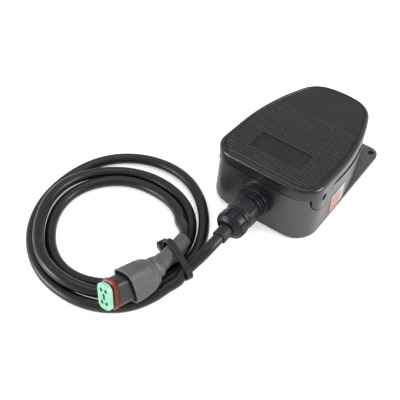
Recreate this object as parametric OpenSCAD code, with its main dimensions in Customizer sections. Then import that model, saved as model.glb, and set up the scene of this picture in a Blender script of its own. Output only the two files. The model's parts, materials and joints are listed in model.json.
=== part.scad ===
// Treadle foot switch: a ribbed pedal on a moulded housing, with its cable, coil and plug.
// Units are millimetres. +Z is up, +Y runs from the cable end to the rounded nose,
// and the origin is on the surface that it stands on, under the middle of the switch.

/* [Base] */
// Width of the base plate
base_w = 84; // [60:1:120]
// Length of the base plate without the bow of its cable end
base_l = 115.4; // [90:0.1:160]
// Distance from the origin to the nose edge of the plate
base_nose_y = 54.6; // [40:0.1:80]
// Corner radius of the plate at the cable end
base_rear_r = 17.5; // [8:0.5:30]
// Corner radius of the plate at the nose
base_nose_r = 8; // [3:0.5:20]
// Outward bow of the cable end edge
rear_bow = 0.8; // [0.2:0.1:4]
// Thickness of the rubber pad under the plate
pad_t = 1.6; // [1:0.1:4]
// Thickness of the steel plate
plate_t = 2.6; // [1.5:0.1:5]
// Radius of the two mounting holes at the nose
mount_hole_r = 2.25; // [1.5:0.05:4]
// Distance of the mounting holes from the sides of the plate
mount_side = 5.7; // [4:0.1:12]
// Distance of the mounting holes from the nose edge
mount_edge = 5.9; // [4:0.1:12]

/* [Housing] */
// Wall thickness of the housing
wall = 2.8; // [2:0.1:5]
// Thickness of the sloping deck under the pedal
deck_t = 2.5; // [1.5:0.1:5]
// Distance from the nose edge of the plate back to the nose of the housing
housing_setback = 2.4; // [0:0.1:10]
// Inward lean of the side walls from the plate to the seam
side_draft = 0.5; // [0:0.1:3]
// Inward lean of the cable end wall from the plate to the seam
rear_draft = 3.8; // [0:0.1:6]
// Angle between the deck and the edge of the pedal skirt
wedge_angle = 5.5; // [3:0.1:10]
// Gap between the pedal skirt and the housing behind the pivot
seam_gap = 0.5; // [0.3:0.1:1.5]

/* [Pedal] */
// Distance from the side of the plate in to the side of the pedal at its widest
pedal_inset = 0.24; // [0:0.01:3]
// Height of the top face at the cable end of the pedal
pedal_top_z = 48.02; // [30:0.01:80]
// Fall of the top face towards the nose per unit of length
pedal_slope = 0.08; // [0:0.005:0.2]
// Depth of the skirt below the top face
skirt_h = 7.7; // [5:0.1:15]
// Height of the level part of the skirt edge at the cable end
skirt_level_z = 38; // [25:0.1:60]
// Thickness of the pedal top and skirt
pedal_t = 3; // [2:0.1:5]
// Radius of the rolled top edge
edge_r = 3; // [1:0.1:4]
// Distance of the nose of the pedal from the origin
pedal_nose_y = 61.6; // [50:0.1:90]
// Distance of the cable end of the pedal from the origin
pedal_rear_y = -57.8; // [-80:0.1:-40]
// Corner radius at the cable end of the pedal
pedal_rear_r = 16; // [8:0.5:30]
// Pitch of the tread ribs
rib_pitch = 2.65; // [2:0.05:5]
// Number of tread ribs
rib_count = 27; // [5:1:40]
// Height of a tread rib above the top face
rib_h = 0.6; // [0.2:0.05:1.5]
// Radius of the bar that each rib is cut from
rib_r = 0.95; // [0.5:0.05:2]

/* [Pivot] */
// Distance of the pivot from the origin along the part
pivot_y = -41; // [-60:0.1:-20]
// Height of the pivot
pivot_z = 35.6; // [20:0.1:60]
// Radius of the round ear at each end of the pivot
ear_r = 10.8; // [8:0.1:16]
// Radius of the pivot pins
pin_r = 2.7; // [1.5:0.05:4]
// Radial running clearance of pins, rods and bushes
run_gap = 0.05; // [0.01:0.01:0.1]
// Clearance between the pedal ears and the pockets in the housing
ear_gap = 0.4; // [0.3:0.05:1]

/* [Cable] */
// Diameter of the cable
cord_d = 8; // [5:0.1:12]
// Height of the cable gland axis
gland_z = 22; // [14:0.5:30]
// Radius of the gland flange
gland_flange_r = 12.5; // [9:0.1:18]
// Radius of the gland nut
gland_nut_r = 10.4; // [8:0.1:15]

/* [Plug] */
// Width of the plug housing
plug_w = 18.6; // [14:0.1:30]
// Thickness of the plug housing
plug_h = 12.7; // [10:0.1:24]
// Length of the plug housing outside its boot
plug_l = 11; // [6:0.5:24]

/* [Hidden] */
plate_z0 = pad_t;
plate_z1 = pad_t + plate_t;
base_hw = base_w / 2;
pedal_hw = base_hw - pedal_inset;
mount_spacing = base_w - 2 * mount_side;
base_rear_y = base_nose_y - base_l;
arc_steps = 8;
fine = 48;
big = 200;
fit = 0.03;
skin = 0.3;
pad_inset = 1;

// Outlines. An arc is a list of points, and an outline is made of arcs on the right side,
// from the cable end round to the nose, and of their mirror images on the left side.
function arc(c, r, from, to, n = arc_steps) =
    [for (i = [0:n]) let (a = from + (to - from) * i / n) [c[0] + r * cos(a), c[1] + r * sin(a)]];

// Radius of the end arc on the centre line that touches a corner circle and reaches the apex.
function end_r(cx, rise, r) = (r * r - cx * cx - rise * rise) / (2 * (r - rise));
function end_angle(cx, rise, r) = atan2(end_r(cx, rise, r) - rise, cx);
function both_sides(p) = concat(p, [for (i = [len(p) - 1:-1:0]) [-p[i][0], p[i][1]]]);

// Half of a rounded end: the middle arc and the corner arc, from the centre line outwards.
function end_half(cx, cy, r, apex, d) =
    let (rise = apex - cy, rn = end_r(cx, rise, r), a = end_angle(cx, rise, r))
    arc([0, apex - rn], rn - d, 90, a);

// Plate outline, inset by d: a bowed cable end, straight sides and small nose corners.
function plate_right(d) =
    let (cx = base_hw - base_rear_r, cy = base_rear_y + base_rear_r, rise = base_rear_r + rear_bow)
    let (rn = end_r(cx, rise, base_rear_r), a = end_angle(cx, rise, base_rear_r))
    concat(
        arc([0, cy + rn - rise], rn - d, -90, -a),
        arc([cx, cy], base_rear_r - d, -a, 0),
        arc([base_hw - base_nose_r, base_nose_y - base_nose_r], base_nose_r - d, 0, 90));
function plate_outline(d = 0) = both_sides(plate_right(d));

// Tapering outline, inset by d: rounded rear corners, straight sides to the waist, a long side
// arc, a nose corner arc and a nose arc.
side_r = 175.7;
waist_y = -19.6;
pedal_side_a = 22.1;
pedal_nose_r = 23.1;
housing_side_a = 19;
housing_nose_r = 18;
function taper_right(hw, rear, rear_r, side_a, corner_r, nose, d) =
    let (sc = [hw - side_r, waist_y])
    let (cc = [sc[0] + (side_r - corner_r) * cos(side_a), sc[1] + (side_r - corner_r) * sin(side_a)])
    let (rise = nose - cc[1], rn = end_r(cc[0], rise, corner_r), na = end_angle(cc[0], rise, corner_r))
    concat(
        arc([hw - rear_r, rear + rear_r], rear_r - d, -90, 0),
        arc(sc, side_r - d, 0, side_a, arc_steps + 4),
        arc(cc, corner_r - d, side_a, na),
        arc([0, nose - rn], rn - d, na, 90));
function pedal_right(d) =
    taper_right(pedal_hw, pedal_rear_y, pedal_rear_r, pedal_side_a, pedal_nose_r, pedal_nose_y, d);
function pedal_outline(d = 0) =
    both_sides(pedal_right(d));
housing_nose_y = base_nose_y - housing_setback;
function housing_outline(lean, d = 0) =
    both_sides(taper_right(base_hw - lean * side_draft, base_rear_y - rear_bow + lean * rear_draft,
        base_rear_r, housing_side_a, housing_nose_r, housing_nose_y, d));

// Sloping planes. Each one is a height at a place along the part.
function top_z(y) = pedal_top_z - pedal_slope * (y - pedal_rear_y);
level_y = pedal_rear_y + (pedal_top_z - skirt_h - skirt_level_z) / pedal_slope;
wedge_y = pivot_y + 1.8;
wedge_slope = pedal_slope + tan(wedge_angle);
function seam_z(y) = skirt_level_z - seam_gap - (y < wedge_y ? 0 : wedge_slope * (y - wedge_y));

// A closed solid through rings of points, each a list of [x, y, z], with flat triangles.
module loft(rings) {
    n = len(rings[0]);
    m = len(rings);
    points = [for (ring = rings) for (p = ring) p];
    sides = [for (k = [0:m - 2]) for (i = [0:n - 1]) let (j = (i + 1) % n)
        [k * n + i, (k + 1) * n + i, (k + 1) * n + j, k * n + j]];
    caps = [[for (i = [0:n - 1]) i], [for (i = [n - 1:-1:0]) (m - 1) * n + i]];
    polyhedron(points = points, faces = concat(
        [for (s = sides) [s[0], s[1], s[2]]], [for (s = sides) [s[0], s[2], s[3]]], caps));
}
function lift(outline, z) = [for (p = outline) [p[0], p[1], z]];
function follow(outline, drop) = [for (p = outline) [p[0], p[1], top_z(p[1]) - drop]];

// A prism across the part from a side profile of [y, z] points.
module across(profile, x0 = -big, x1 = big) {
    translate([x0, 0, 0])
        rotate([90, 0, 90])
            linear_extrude(x1 - x0)
                polygon(profile);
}
module both() {
    children();
    mirror([1, 0, 0])
        children();
}
module rod_x(y, z, r, x0, x1) {
    translate([x0, y, z])
        rotate([0, 90, 0])
            cylinder(r = r, h = x1 - x0, $fn = fine);
}
module rod_y(x, z, r, y0, y1, r_end = -1) {
    translate([x, y1, z])
        rotate([90, 0, 0])
            cylinder(r1 = r, r2 = r_end < 0 ? r : r_end, h = y1 - y0, $fn = fine);
}
module rod_z(x, y, r, z0, z1) {
    translate([x, y, z0])
        cylinder(r = r, h = z1 - z0, $fn = fine);
}
module hex_y(x, z, flats, y0, y1) {
    translate([x, y1, z])
        rotate([90, 30, 0])
            cylinder(d = flats / cos(30), h = y1 - y0, $fn = 6);
}

// Fixings
screw_r = 2;
screw_head_r = 3.9;
screw_head_h = 1.9;
screw_l = 12;
post_r = 4.6;
rear_screw = [base_hw - 12, base_rear_y + 16.8];
nose_screw = [base_hw - 22, base_nose_y - 22.6];
screw_places = [[-rear_screw[0], rear_screw[1]], rear_screw, [-nose_screw[0], nose_screw[1]], nose_screw];
mount_y = base_nose_y - mount_edge;

// Housing inside and out
gasket_w = 1.2;
gasket_t = 0.8;
boss_in_x = base_hw - 13;
pin_boss_r = pin_r + 2;
pocket_depth = pedal_t + ear_gap;
gland_boss_r = gland_flange_r + 0.3;
gland_boss_y = base_rear_y - 0.5;
cavity_rear_y = base_rear_y + 3.3;
spring_y = 25;
cup_r = 8;
cup_z = 14;
plunger_y = -8;
bush_r = 4;
bush_flange_r = 5.2;
bush_boss_r = bush_flange_r + 1.2;
bush_flange_t = 1;
bush_z0 = 25.5;
bush_z1 = 33;
bumper_x = 14;
bumper_y = 40;
bumper_r = 4.5;
bumper_top_z = 29.1;
rest_x = 16;
rest_r = 3.4;
rest_y = pedal_rear_y + pedal_t + rest_r + 0.9;
rubber_hole_r = 2.5;

// The ear profile is a round lobe about the pivot, with a fillet up to the skirt.
ear_fillet_r = 4;
ear_fillet_z = 33.7;
ear_fillet_y = pivot_y + sqrt(pow(ear_r + ear_fillet_r, 2) - pow(ear_fillet_z - pivot_z, 2));
ear_touch_a = atan2(ear_fillet_z - pivot_z, ear_fillet_y - pivot_y);
ear_top_z = 42.5;
ear_profile = concat(
    [[pivot_y - ear_r, ear_top_z]],
    arc([pivot_y, pivot_z], ear_r, 180, 360 + ear_touch_a, 20),
    arc([ear_fillet_y, ear_fillet_z], ear_fillet_r, 180 + ear_touch_a, 90, 5),
    [[ear_fillet_y, ear_top_z]]);
pocket_nose_y = pivot_y + ear_r + 1.9;
pocket_step_z = 33;
pocket_profile = concat(
    [[pivot_y - ear_r - ear_gap, big]],
    arc([pivot_y, pivot_z], ear_r + ear_gap, 180, 345, 20),
    [[pocket_nose_y, pocket_step_z], [pocket_nose_y, big]]);

module housing_loft(d, z0, z1) {
    span = skirt_level_z - plate_z1;
    loft([for (z = [z0, z1]) lift(housing_outline((z - plate_z1) / span, d), z)]);
}
module under_seam(drop) {
    across([
        [-big, -big], [-big, seam_z(-big) - drop], [wedge_y, seam_z(wedge_y) - drop],
        [big, seam_z(big) - drop], [big, -big]]);
}
module wall_ring(outer, inner, z0, z1) {
    translate([0, 0, z0])
        linear_extrude(z1 - z0)
            difference() {
                polygon(pedal_outline(outer));
                polygon(pedal_outline(inner));
            }
}

// Base plate
module plate_holes(extra) {
    for (sx = [-1, 1])
        rod_z(sx * mount_spacing / 2, mount_y, mount_hole_r, -1, plate_z1 + 1);
    for (p = screw_places)
        rod_z(p[0], p[1], screw_r + extra, -1, plate_z1 + 1);
}
module base_plate() {
    color("dimgray")
        difference() {
            translate([0, 0, plate_z0])
                linear_extrude(plate_t)
                    polygon(plate_outline());
            plate_holes(2 * run_gap);
            for (p = screw_places)
                translate([p[0], p[1], plate_z0])
                    cylinder(r1 = screw_head_r + run_gap, r2 = screw_r + run_gap, h = screw_head_h,
                        $fn = fine);
        }
}
module base_pad() {
    color("black")
        difference() {
            linear_extrude(pad_t)
                polygon(plate_outline(pad_inset));
            plate_holes(screw_head_r - screw_r + 0.8);
        }
}
module base_screw(i) {
    p = screw_places[i];
    slot_w = screw_r / 2;
    color("silver")
        difference() {
            union() {
                translate([p[0], p[1], plate_z0])
                    cylinder(r1 = screw_head_r, r2 = screw_r, h = screw_head_h, $fn = fine);
                rod_z(p[0], p[1], screw_r, plate_z0 + screw_head_h / 2, plate_z0 + screw_l);
            }
            for (a = [0, 90])
                translate([p[0], p[1], plate_z0])
                    rotate([0, 0, a])
                        cube([screw_head_r, slot_w, screw_head_h], center = true);
        }
}
module gasket() {
    color("black")
        translate([0, 0, plate_z1])
            linear_extrude(gasket_t)
                difference() {
                    polygon(housing_outline(0, gasket_w));
                    polygon(housing_outline(0, 2 * gasket_w));
                }
}

// Housing
module housing_inside() {
    difference() {
        intersection() {
            housing_loft(wall, plate_z1 - 1, skirt_level_z + 1);
            under_seam(deck_t);
        }
        both()
            translate([boss_in_x, pivot_y - ear_r - 2, pivot_z - ear_r - 2])
                cube([big, pocket_nose_y - pivot_y + ear_r + 4, big]);
        for (p = screw_places)
            rod_z(p[0], p[1], post_r, plate_z1, big);
        rod_z(0, plunger_y, bush_boss_r, bush_z0, big);
        rod_z(0, spring_y, cup_r + deck_t, cup_z - deck_t, big);
        rod_y(0, gland_z, gland_boss_r, -big, cavity_rear_y + wall);
    }
}
module housing() {
    color([0.06, 0.06, 0.065])
        difference() {
            union() {
                intersection() {
                    housing_loft(0, plate_z1, skirt_level_z + 1);
                    under_seam(0);
                }
                rod_y(0, gland_z, gland_boss_r, gland_boss_y, cavity_rear_y);
                rod_z(0, plunger_y, bush_boss_r, bush_z0, bush_z1);
                both()
                    rod_x(pivot_y, pivot_z, pin_boss_r, boss_in_x + 1, pedal_hw);
            }
            housing_inside();
            translate([0, 0, plate_z1 - 1])
                linear_extrude(gasket_t + 1)
                    difference() {
                        polygon(housing_outline(0, gasket_w - fit));
                        polygon(housing_outline(0, 2 * gasket_w + fit));
                    }
            both()
                intersection() {
                    wall_ring(-2, pocket_depth, plate_z1, big);
                    across(pocket_profile, boss_in_x, big);
                }
            both()
                rod_x(pivot_y, pivot_z, pin_r + fit, boss_in_x + 2, big);
            rod_y(0, gland_z, gland_shank_r + fit, -big, 0);
            rod_z(0, plunger_y, bush_r + fit, bush_z0 - 1, big);
            rod_z(0, plunger_y, bush_flange_r + skin, bush_z1 - bush_flange_t, big);
            rod_z(0, spring_y, cup_r, cup_z, big);
            for (sx = [-1, 1]) {
                rod_z(sx * bumper_x, bumper_y, rubber_hole_r + fit, plate_z1, big);
                rod_z(sx * rest_x, rest_y, rubber_hole_r + fit, pivot_z - 4, big);
            }
            for (p = screw_places)
                rod_z(p[0], p[1], screw_r + fit, plate_z1 - 1, plate_z0 + screw_l + 1);
        }
}
label_y0 = -27.8;
label_z0 = 6;
label_l = 20;
label_h = 17;
module side_label() {
    color("lightgray")
        intersection() {
            difference() {
                housing_loft(-skin, plate_z1, skirt_level_z);
                housing_loft(0, plate_z1 - 1, skirt_level_z + 1);
            }
            translate([0, label_y0, label_z0])
                cube([big, label_l, label_h]);
        }
}

// Pivot pins and their bushes
pin_in_x = boss_in_x + 2;
pin_out_x = pedal_hw - 1.3;
ear_bush_r = pin_r + 1;
ear_lip = 0.8;
module pivot_pin(side) {
    color("silver")
        mirror([side < 0 ? 1 : 0, 0, 0])
            rod_x(pivot_y, pivot_z, pin_r, pin_in_x, pin_out_x);
}
module pivot_bush(side) {
    color("peru")
        mirror([side < 0 ? 1 : 0, 0, 0])
            difference() {
                rod_x(pivot_y, pivot_z, ear_bush_r, pedal_hw - pedal_t, pedal_hw - ear_lip);
                rod_x(pivot_y, pivot_z, pin_r + run_gap, 0, big);
            }
}

// Pedal
round_steps = 4;
blank_x0 = -21;
blank_x1 = 20;
blank_y0 = -40.8;
blank_y1 = -21.8;
rib_first_y = -52.4;
rib_inset = 5.6;
blank_sink = 0.3;
inner_rib_x = 24;
inner_rib_h = 2.4;
inner_rib_y0 = pivot_y + 12;
inner_rib_y1 = 44;
pedal_depth = pedal_top_z - skirt_level_z + 2;
striker_r = 4;
function rolled(k) = [edge_r * (1 - cos(90 * k / round_steps)), edge_r * (1 - sin(90 * k / round_steps))];

// Half width of the top face, inset by d, at a place along it.
function half_at(y, d) =
    let (p = pedal_right(d))
    let (hits = [for (i = [0:len(p) - 2]) if (p[i][1] <= y && p[i + 1][1] > y)
        p[i][0] + (p[i + 1][0] - p[i][0]) * (y - p[i][1]) / (p[i + 1][1] - p[i][1])])
    len(hits) > 0 ? hits[0] : 0;
module rib_bar(y, x0, x1) {
    z = top_z(y) + rib_h - rib_r;
    if (x1 > x0)
        rod_x(y, z, rib_r, x0, x1);
}
module ribs() {
    for (i = [0:rib_count - 1])
        let (y = rib_first_y + i * rib_pitch, hw = half_at(y, rib_inset)) {
            in_blank = y > blank_y0 && y < blank_y1;
            rib_bar(y, -hw, in_blank ? blank_x0 : hw);
            if (in_blank)
                rib_bar(y, blank_x1, hw);
        }
}
module pedal() {
    color([0.14, 0.14, 0.145])
        difference() {
            union() {
                difference() {
                    loft(concat(
                        [follow(pedal_outline(0), pedal_depth)],
                        [for (k = [0:round_steps]) follow(pedal_outline(rolled(k)[0]), rolled(k)[1])]));
                    loft([
                        follow(pedal_outline(pedal_t), pedal_depth + 1),
                        follow(pedal_outline(pedal_t + 0.3), pedal_t)]);
                    across([
                        [-big, -big], [-big, skirt_level_z], [level_y, skirt_level_z],
                        [big, top_z(big) - skirt_h], [big, -big]]);
                }
                intersection() {
                    wall_ring(0, pedal_t, pivot_z - ear_r - 1, ear_top_z);
                    both()
                        across(ear_profile, boss_in_x, big);
                }
                ribs();
                for (sx = [-1, 1])
                    translate([sx * inner_rib_x - 1, 0, 0])
                        across([
                            [inner_rib_y0, top_z(inner_rib_y0) - pedal_t + 0.5],
                            [inner_rib_y0, top_z(inner_rib_y0) - pedal_t - inner_rib_h],
                            [inner_rib_y1, top_z(inner_rib_y1) - pedal_t - inner_rib_h],
                            [inner_rib_y1, top_z(inner_rib_y1) - pedal_t + 0.5]], 0, 2);
                rod_z(0, plunger_y, striker_r, striker_z, top_z(plunger_y) - pedal_t + 0.5);
                rod_z(0, spring_y, spring_r - 2 * spring_wire - 0.6, spring_z1 - 3, spring_z1 + 1.5);
            }
            both() {
                rod_x(pivot_y, pivot_z, pin_r + 2 * run_gap, 0, big);
                rod_x(pivot_y, pivot_z, ear_bush_r + fit, 0, pedal_hw - ear_lip);
            }
            across([
                [blank_y0, top_z(blank_y0) - blank_sink], [blank_y1, top_z(blank_y1) - blank_sink],
                [blank_y1, top_z(blank_y1) + 3], [blank_y0, top_z(blank_y0) + 3]], blank_x0, blank_x1);
        }
}

// Return spring, rubber stops
spring_r = 6.6;
spring_wire = 0.7;
spring_turns = 6;
spring_z1 = top_z(spring_y + spring_r) - pedal_t - 0.1;
function helix(turns, per_turn, r, z0, z1) =
    [for (i = [0:turns * per_turn]) let (a = 360 * i / per_turn)
        [r * cos(a), r * sin(a), z0 + (z1 - z0) * i / (turns * per_turn)]];
module return_spring() {
    r = spring_r - spring_wire;
    z0 = cup_z + spring_wire + fit;
    color("silver")
        translate([0, spring_y, 0])
            tube(helix(spring_turns, 16, r, z0, spring_z1 - spring_wire), spring_wire, 6);
}
module stop_bumper(side) {
    x = side * bumper_x;
    color("black")
        union() {
            rod_z(x, bumper_y, rubber_hole_r, seam_z(bumper_y) - deck_t - 1, seam_z(bumper_y) + 2);
            rod_z(x, bumper_y, bumper_r, seam_z(bumper_y - bumper_r) + fit, bumper_top_z);
        }
}
module rest_bumper(side) {
    x = side * rest_x;
    color("black")
        union() {
            rod_z(x, rest_y, rubber_hole_r, seam_z(rest_y) - deck_t, seam_z(rest_y) + 2);
            rod_z(x, rest_y, rest_r, seam_z(rest_y) + fit, top_z(rest_y + rest_r) - pedal_t - 0.15);
        }
}

// Plunger, its bush and the rubber cap that seals them
plunger_r = 2.4;
striker_z = top_z(plunger_y) - pedal_t - 1.2;
cap_gap = 0.4;
cap_t = 0.6;
plunger_top_z = striker_z - cap_gap - cap_t - 0.1;
plunger_low_z = 24.1;
plunger_tip_r = 1.2;
plunger_collar_r = 3.2;
plunger_dome_r = 6;
cap_in_r = plunger_collar_r + 0.4;
cap_r = cap_in_r + 0.7;
cap_fold = 0.9;
module plunger_bush() {
    color("gold")
        difference() {
            union() {
                rod_z(0, plunger_y, bush_r, bush_z0, bush_z1);
                rod_z(0, plunger_y, bush_flange_r, bush_z1 - bush_flange_t + fit, bush_z1);
            }
            rod_z(0, plunger_y, plunger_r + run_gap, 0, big);
        }
}
module plunger() {
    color("silver")
        union() {
            rod_z(0, plunger_y, plunger_tip_r, plunger_low_z, bush_z0);
            rod_z(0, plunger_y, plunger_r, plunger_low_z + 1, plunger_top_z - 1.2);
            rod_z(0, plunger_y, plunger_collar_r, plunger_top_z - 2.2, plunger_top_z - 1);
            intersection() {
                translate([0, plunger_y, plunger_top_z - plunger_dome_r])
                    sphere(r = plunger_dome_r, $fn = fine);
                rod_z(0, plunger_y, plunger_collar_r, plunger_top_z - 1.2, plunger_top_z + 1);
            }
        }
}
module plunger_bellows() {
    z0 = bush_z1 + fit;
    z1 = striker_z - cap_gap;
    folds = 3;
    outer = [for (i = [0:2 * folds])
        [i % 2 == 0 ? cap_r : cap_r + cap_fold, z0 + (z1 - z0) * i / (2 * folds)]];
    color("black")
        translate([0, plunger_y, 0])
            rotate_extrude($fn = 32)
                polygon(concat([[cap_in_r, z0]], outer, [[0, z1], [0, z1 - cap_t], [cap_in_r, z1 - cap_t]]));
}

// Snap switch
switch_w = 6.4;
switch_y0 = -24;
switch_y1 = -4;
switch_z0 = 9.9;
switch_z1 = 19.5;
lever_pivot_y = -21;
lever_z = 20.4;
lever_t = 0.4;
lever_tilt = 12.5;
lever_l = 16;
lever_w = 3.6;
lever_pin_r = 0.6;
button_r = 0.8;
button_y = -16;
hole_y = [-19, -9.5];
switch_hole_r = 1.2;
module switch_body() {
    color([0.1, 0.1, 0.12])
        difference() {
            union() {
                translate([-switch_w / 2, switch_y0, switch_z0])
                    cube([switch_w, switch_y1 - switch_y0, switch_z1 - switch_z0]);
                for (sx = [-1, 1])
                    translate([sx * (switch_w / 2 - 0.6) - 0.6, lever_pivot_y - 1.2, switch_z1 - 1])
                        cube([1.2, 2.4, 3.2]);
            }
            rod_x(lever_pivot_y, lever_z, lever_pin_r + run_gap, -big, big);
            for (y = hole_y)
                rod_x(y, switch_z0 + 2.5, switch_hole_r, -big, big);
            rod_z(0, button_y, button_r + run_gap, switch_z1 - 3, big);
        }
}
module switch_button() {
    color("firebrick")
        rod_z(0, button_y, button_r, switch_z1 - 1.8, lever_z + 0.5);
}
module switch_lever() {
    color("silver")
        union() {
            translate([-lever_w / 2, lever_pivot_y, lever_z])
                rotate([lever_tilt, 0, 0])
                    translate([0, 0, -lever_t / 2])
                        cube([lever_w, lever_l, lever_t]);
            rod_x(lever_pivot_y, lever_z, lever_pin_r, -switch_w / 2, switch_w / 2);
        }
}
module switch_terminals() {
    color("gold")
        for (y = [-21.5, -14, -6.5])
            translate([-1.2, y - 0.25, switch_z0 - 4.2])
                difference() {
                    cube([2.4, 0.5, 4.2]);
                    translate([1.2, -1, 1.4])
                        rotate([-90, 0, 0])
                            cylinder(r = 0.6, h = 3, $fn = 16);
                }
}
bracket_x = switch_w / 2;
bracket_t = 1.5;
module switch_bracket() {
    color("silver")
        difference() {
            union() {
                translate([bracket_x, switch_y0, plate_z1])
                    cube([bracket_t, switch_y1 - switch_y0, switch_z1 - 2 - plate_z1]);
                translate([bracket_x, switch_y0, plate_z1])
                    cube([10, switch_y1 - switch_y0, bracket_t]);
            }
            for (y = hole_y)
                rod_x(y, switch_z0 + 2.5, switch_hole_r, -big, big);
        }
}
module switch_screw(i) {
    y = hole_y[i];
    color("silver")
        union() {
            rod_x(y, switch_z0 + 2.5, switch_hole_r - fit, -switch_w / 2 - 0.5, bracket_x + bracket_t + 1);
            rod_x(y, switch_z0 + 2.5, 2.2, -switch_w / 2 - 1.4, -switch_w / 2);
        }
}

// Cable gland, from the wall outwards
gland_shank_r = 7.5;
flange_y0 = gland_boss_y - 3.5;
neck_r = 10.3;
neck_y0 = flange_y0 - 4.4;
nut_l = 14.6;
nut_y0 = neck_y0 - nut_l;
nut_hex_y0 = nut_y0 + 4;
nut_hex_y1 = neck_y0 - 2;
crown_r = gland_nut_r + 0.3;
crown_l = 8.5;
crown_y0 = nut_y0 - crown_l;
crown_notches = 10;
dome_l = 3;
dome_r = gland_nut_r - 2;
dome_end_l = 1.3;
dome_y0 = crown_y0 - dome_l;
cord_r = cord_d / 2;
sleeve_r = cord_r + 1.3;
sleeve_l = 8.9;
sleeve_y0 = dome_y0 - sleeve_l;
locknut_y0 = cavity_rear_y + wall + fit;
locknut_l = 3.4;
locknut_flats = 20;
shank_y1 = locknut_y0 + locknut_l + 0.8;
module gland_body() {
    color([0.09, 0.1, 0.13])
        difference() {
            union() {
                rod_y(0, gland_z, gland_flange_r, flange_y0, gland_boss_y - fit);
                rod_y(0, gland_z, neck_r, neck_y0, flange_y0);
                rod_y(0, gland_z, gland_shank_r, neck_y0, shank_y1);
            }
            rod_y(0, gland_z, cord_r + run_gap, -big, 0);
        }
}
module gland_locknut() {
    color([0.09, 0.1, 0.13])
        difference() {
            hex_y(0, gland_z, locknut_flats, locknut_y0, locknut_y0 + locknut_l);
            rod_y(0, gland_z, gland_shank_r + fit, -big, 0);
        }
}
module gland_nut() {
    color([0.08, 0.08, 0.085])
        difference() {
            union() {
                rod_y(0, gland_z, gland_nut_r, nut_y0, neck_y0 - fit, gland_nut_r - 0.3);
                intersection() {
                    rod_y(0, gland_z, gland_nut_r + 0.5, nut_hex_y0, nut_hex_y1);
                    hex_y(0, gland_z, 2 * gland_nut_r - 0.2, nut_y0, neck_y0);
                }
            }
            rod_y(0, gland_z, cord_r + run_gap, -big, 0);
        }
}
module gland_crown() {
    notch_w = 1.4;
    color([0.08, 0.08, 0.085])
        difference() {
            union() {
                rod_y(0, gland_z, crown_r, crown_y0, nut_y0 - fit);
                rod_y(0, gland_z, crown_r - 0.2, dome_y0 + dome_end_l, crown_y0, dome_r);
                rod_y(0, gland_z, dome_r, dome_y0, dome_y0 + dome_end_l, sleeve_r);
            }
            for (i = [0:crown_notches - 1])
                translate([0, (crown_y0 + nut_y0) / 2, gland_z])
                    rotate([0, 360 * i / crown_notches, 0])
                        translate([crown_r + 0.1, 0, 0])
                            cube([1.8, crown_l - 1.2, notch_w], center = true);
            rod_y(0, gland_z, cord_r + run_gap, -big, 0);
        }
}
module cord_sleeve() {
    color("black")
        difference() {
            rod_y(0, gland_z, sleeve_r, sleeve_y0, dome_y0 - fit, sleeve_r - 0.4);
            rod_y(0, gland_z, cord_r + run_gap, -big, 0);
        }
}
tail_y1 = -46;
module cord_tail() {
    color([0.09, 0.09, 0.095])
        rod_y(0, gland_z, cord_r, sleeve_y0, tail_y1);
}

// Tubes. Each ring stands square to the path, and a path never runs straight up.
function unit(v) = v / norm(v);
function heading(p, i) = unit(p[min(i + 1, len(p) - 1)] - p[max(i - 1, 0)]);
function ring_at(c, t, r, n) =
    let (s = unit(cross([0, 0, 1], t)), u = cross(t, s))
    [for (k = [0:n - 1]) c + r * (cos(360 * k / n) * s + sin(360 * k / n) * u)];
module tube(p, r, n) {
    m = len(p);
    rings = [for (i = [0:m - 1]) ring_at(p[i], heading(p, i), r, n)];
    sides = [for (i = [0:m - 2]) for (k = [0:n - 1]) let (j = (k + 1) % n)
        [i * n + k, (i + 1) * n + k, (i + 1) * n + j, i * n + j]];
    polyhedron(points = [for (ring = rings) for (q = ring) q], faces = concat(
        [for (s = sides) [s[0], s[1], s[2]]], [for (s = sides) [s[0], s[2], s[3]]],
        [for (k = [1:n - 2]) [0, k, k + 1]],
        [for (k = [1:n - 2]) [(m - 1) * n, (m - 1) * n + k + 1, (m - 1) * n + k]]));
}

// The coil: three loops, clockwise from above, about one centre. Its radius and its height
// are set at every eighth of a turn and run smoothly between those places.
coil_c = [-71, -125.8];
coil_from = 20;
coil_to = 1045;
coil_rings_per_turn = 24;
coil_sides = 6;
coil_radius = [64.5, 69, 65, 62, 62, 66.7, 65.5, 60.3, 60,
    59.2, 60.5, 56, 55.3, 52.2, 49, 50.6, 51.6,
    50.6, 52, 49, 48, 43.2, 40, 42.6, 46];
coil_height = [12, 5.4, 4, 4, 4, 4, 4, 4, 5.5,
    5, 11.8, 10.2, 9.4, 4.4, 4, 4, 5.5,
    4.2, 4, 4, 4, 4, 4, 7.6, 15];
function smooth(v, u) =
    let (i = min(floor(u), len(v) - 2), f = u - i, last = len(v) - 1)
    let (a = v[max(i - 1, 0)], b = v[i], c = v[i + 1], d = v[min(i + 2, last)])
    b + 0.5 * f * (c - a + f * (2 * a - 5 * b + 4 * c - d + f * (3 * (b - c) + d - a)));
function coil_at(a) =
    let (r = smooth(coil_radius, a / 45))
    [coil_c[0] + r * cos(a), coil_c[1] - r * sin(a), smooth(coil_height, a / 45)];
coil_steps = round((coil_to - coil_from) * coil_rings_per_turn / 360);
coil_turns = [for (i = [0:coil_steps]) coil_at(coil_from + (coil_to - coil_from) * i / coil_steps)];
coil_start_dir = unit(coil_turns[1] - coil_turns[0]);
coil_start = coil_turns[0] - coil_start_dir * cord_d;
coil_end_route = [[-28.6, -105.4, 11.8], [-23.8, -110.2, 13.4], [-21.7, -115.5, 14.2]];
coil_end = [-20.9, -123.4, 14.6];
coil_path = concat([coil_start], coil_turns, coil_end_route, [coil_end]);
half_turn = coil_rings_per_turn / 2;
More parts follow.
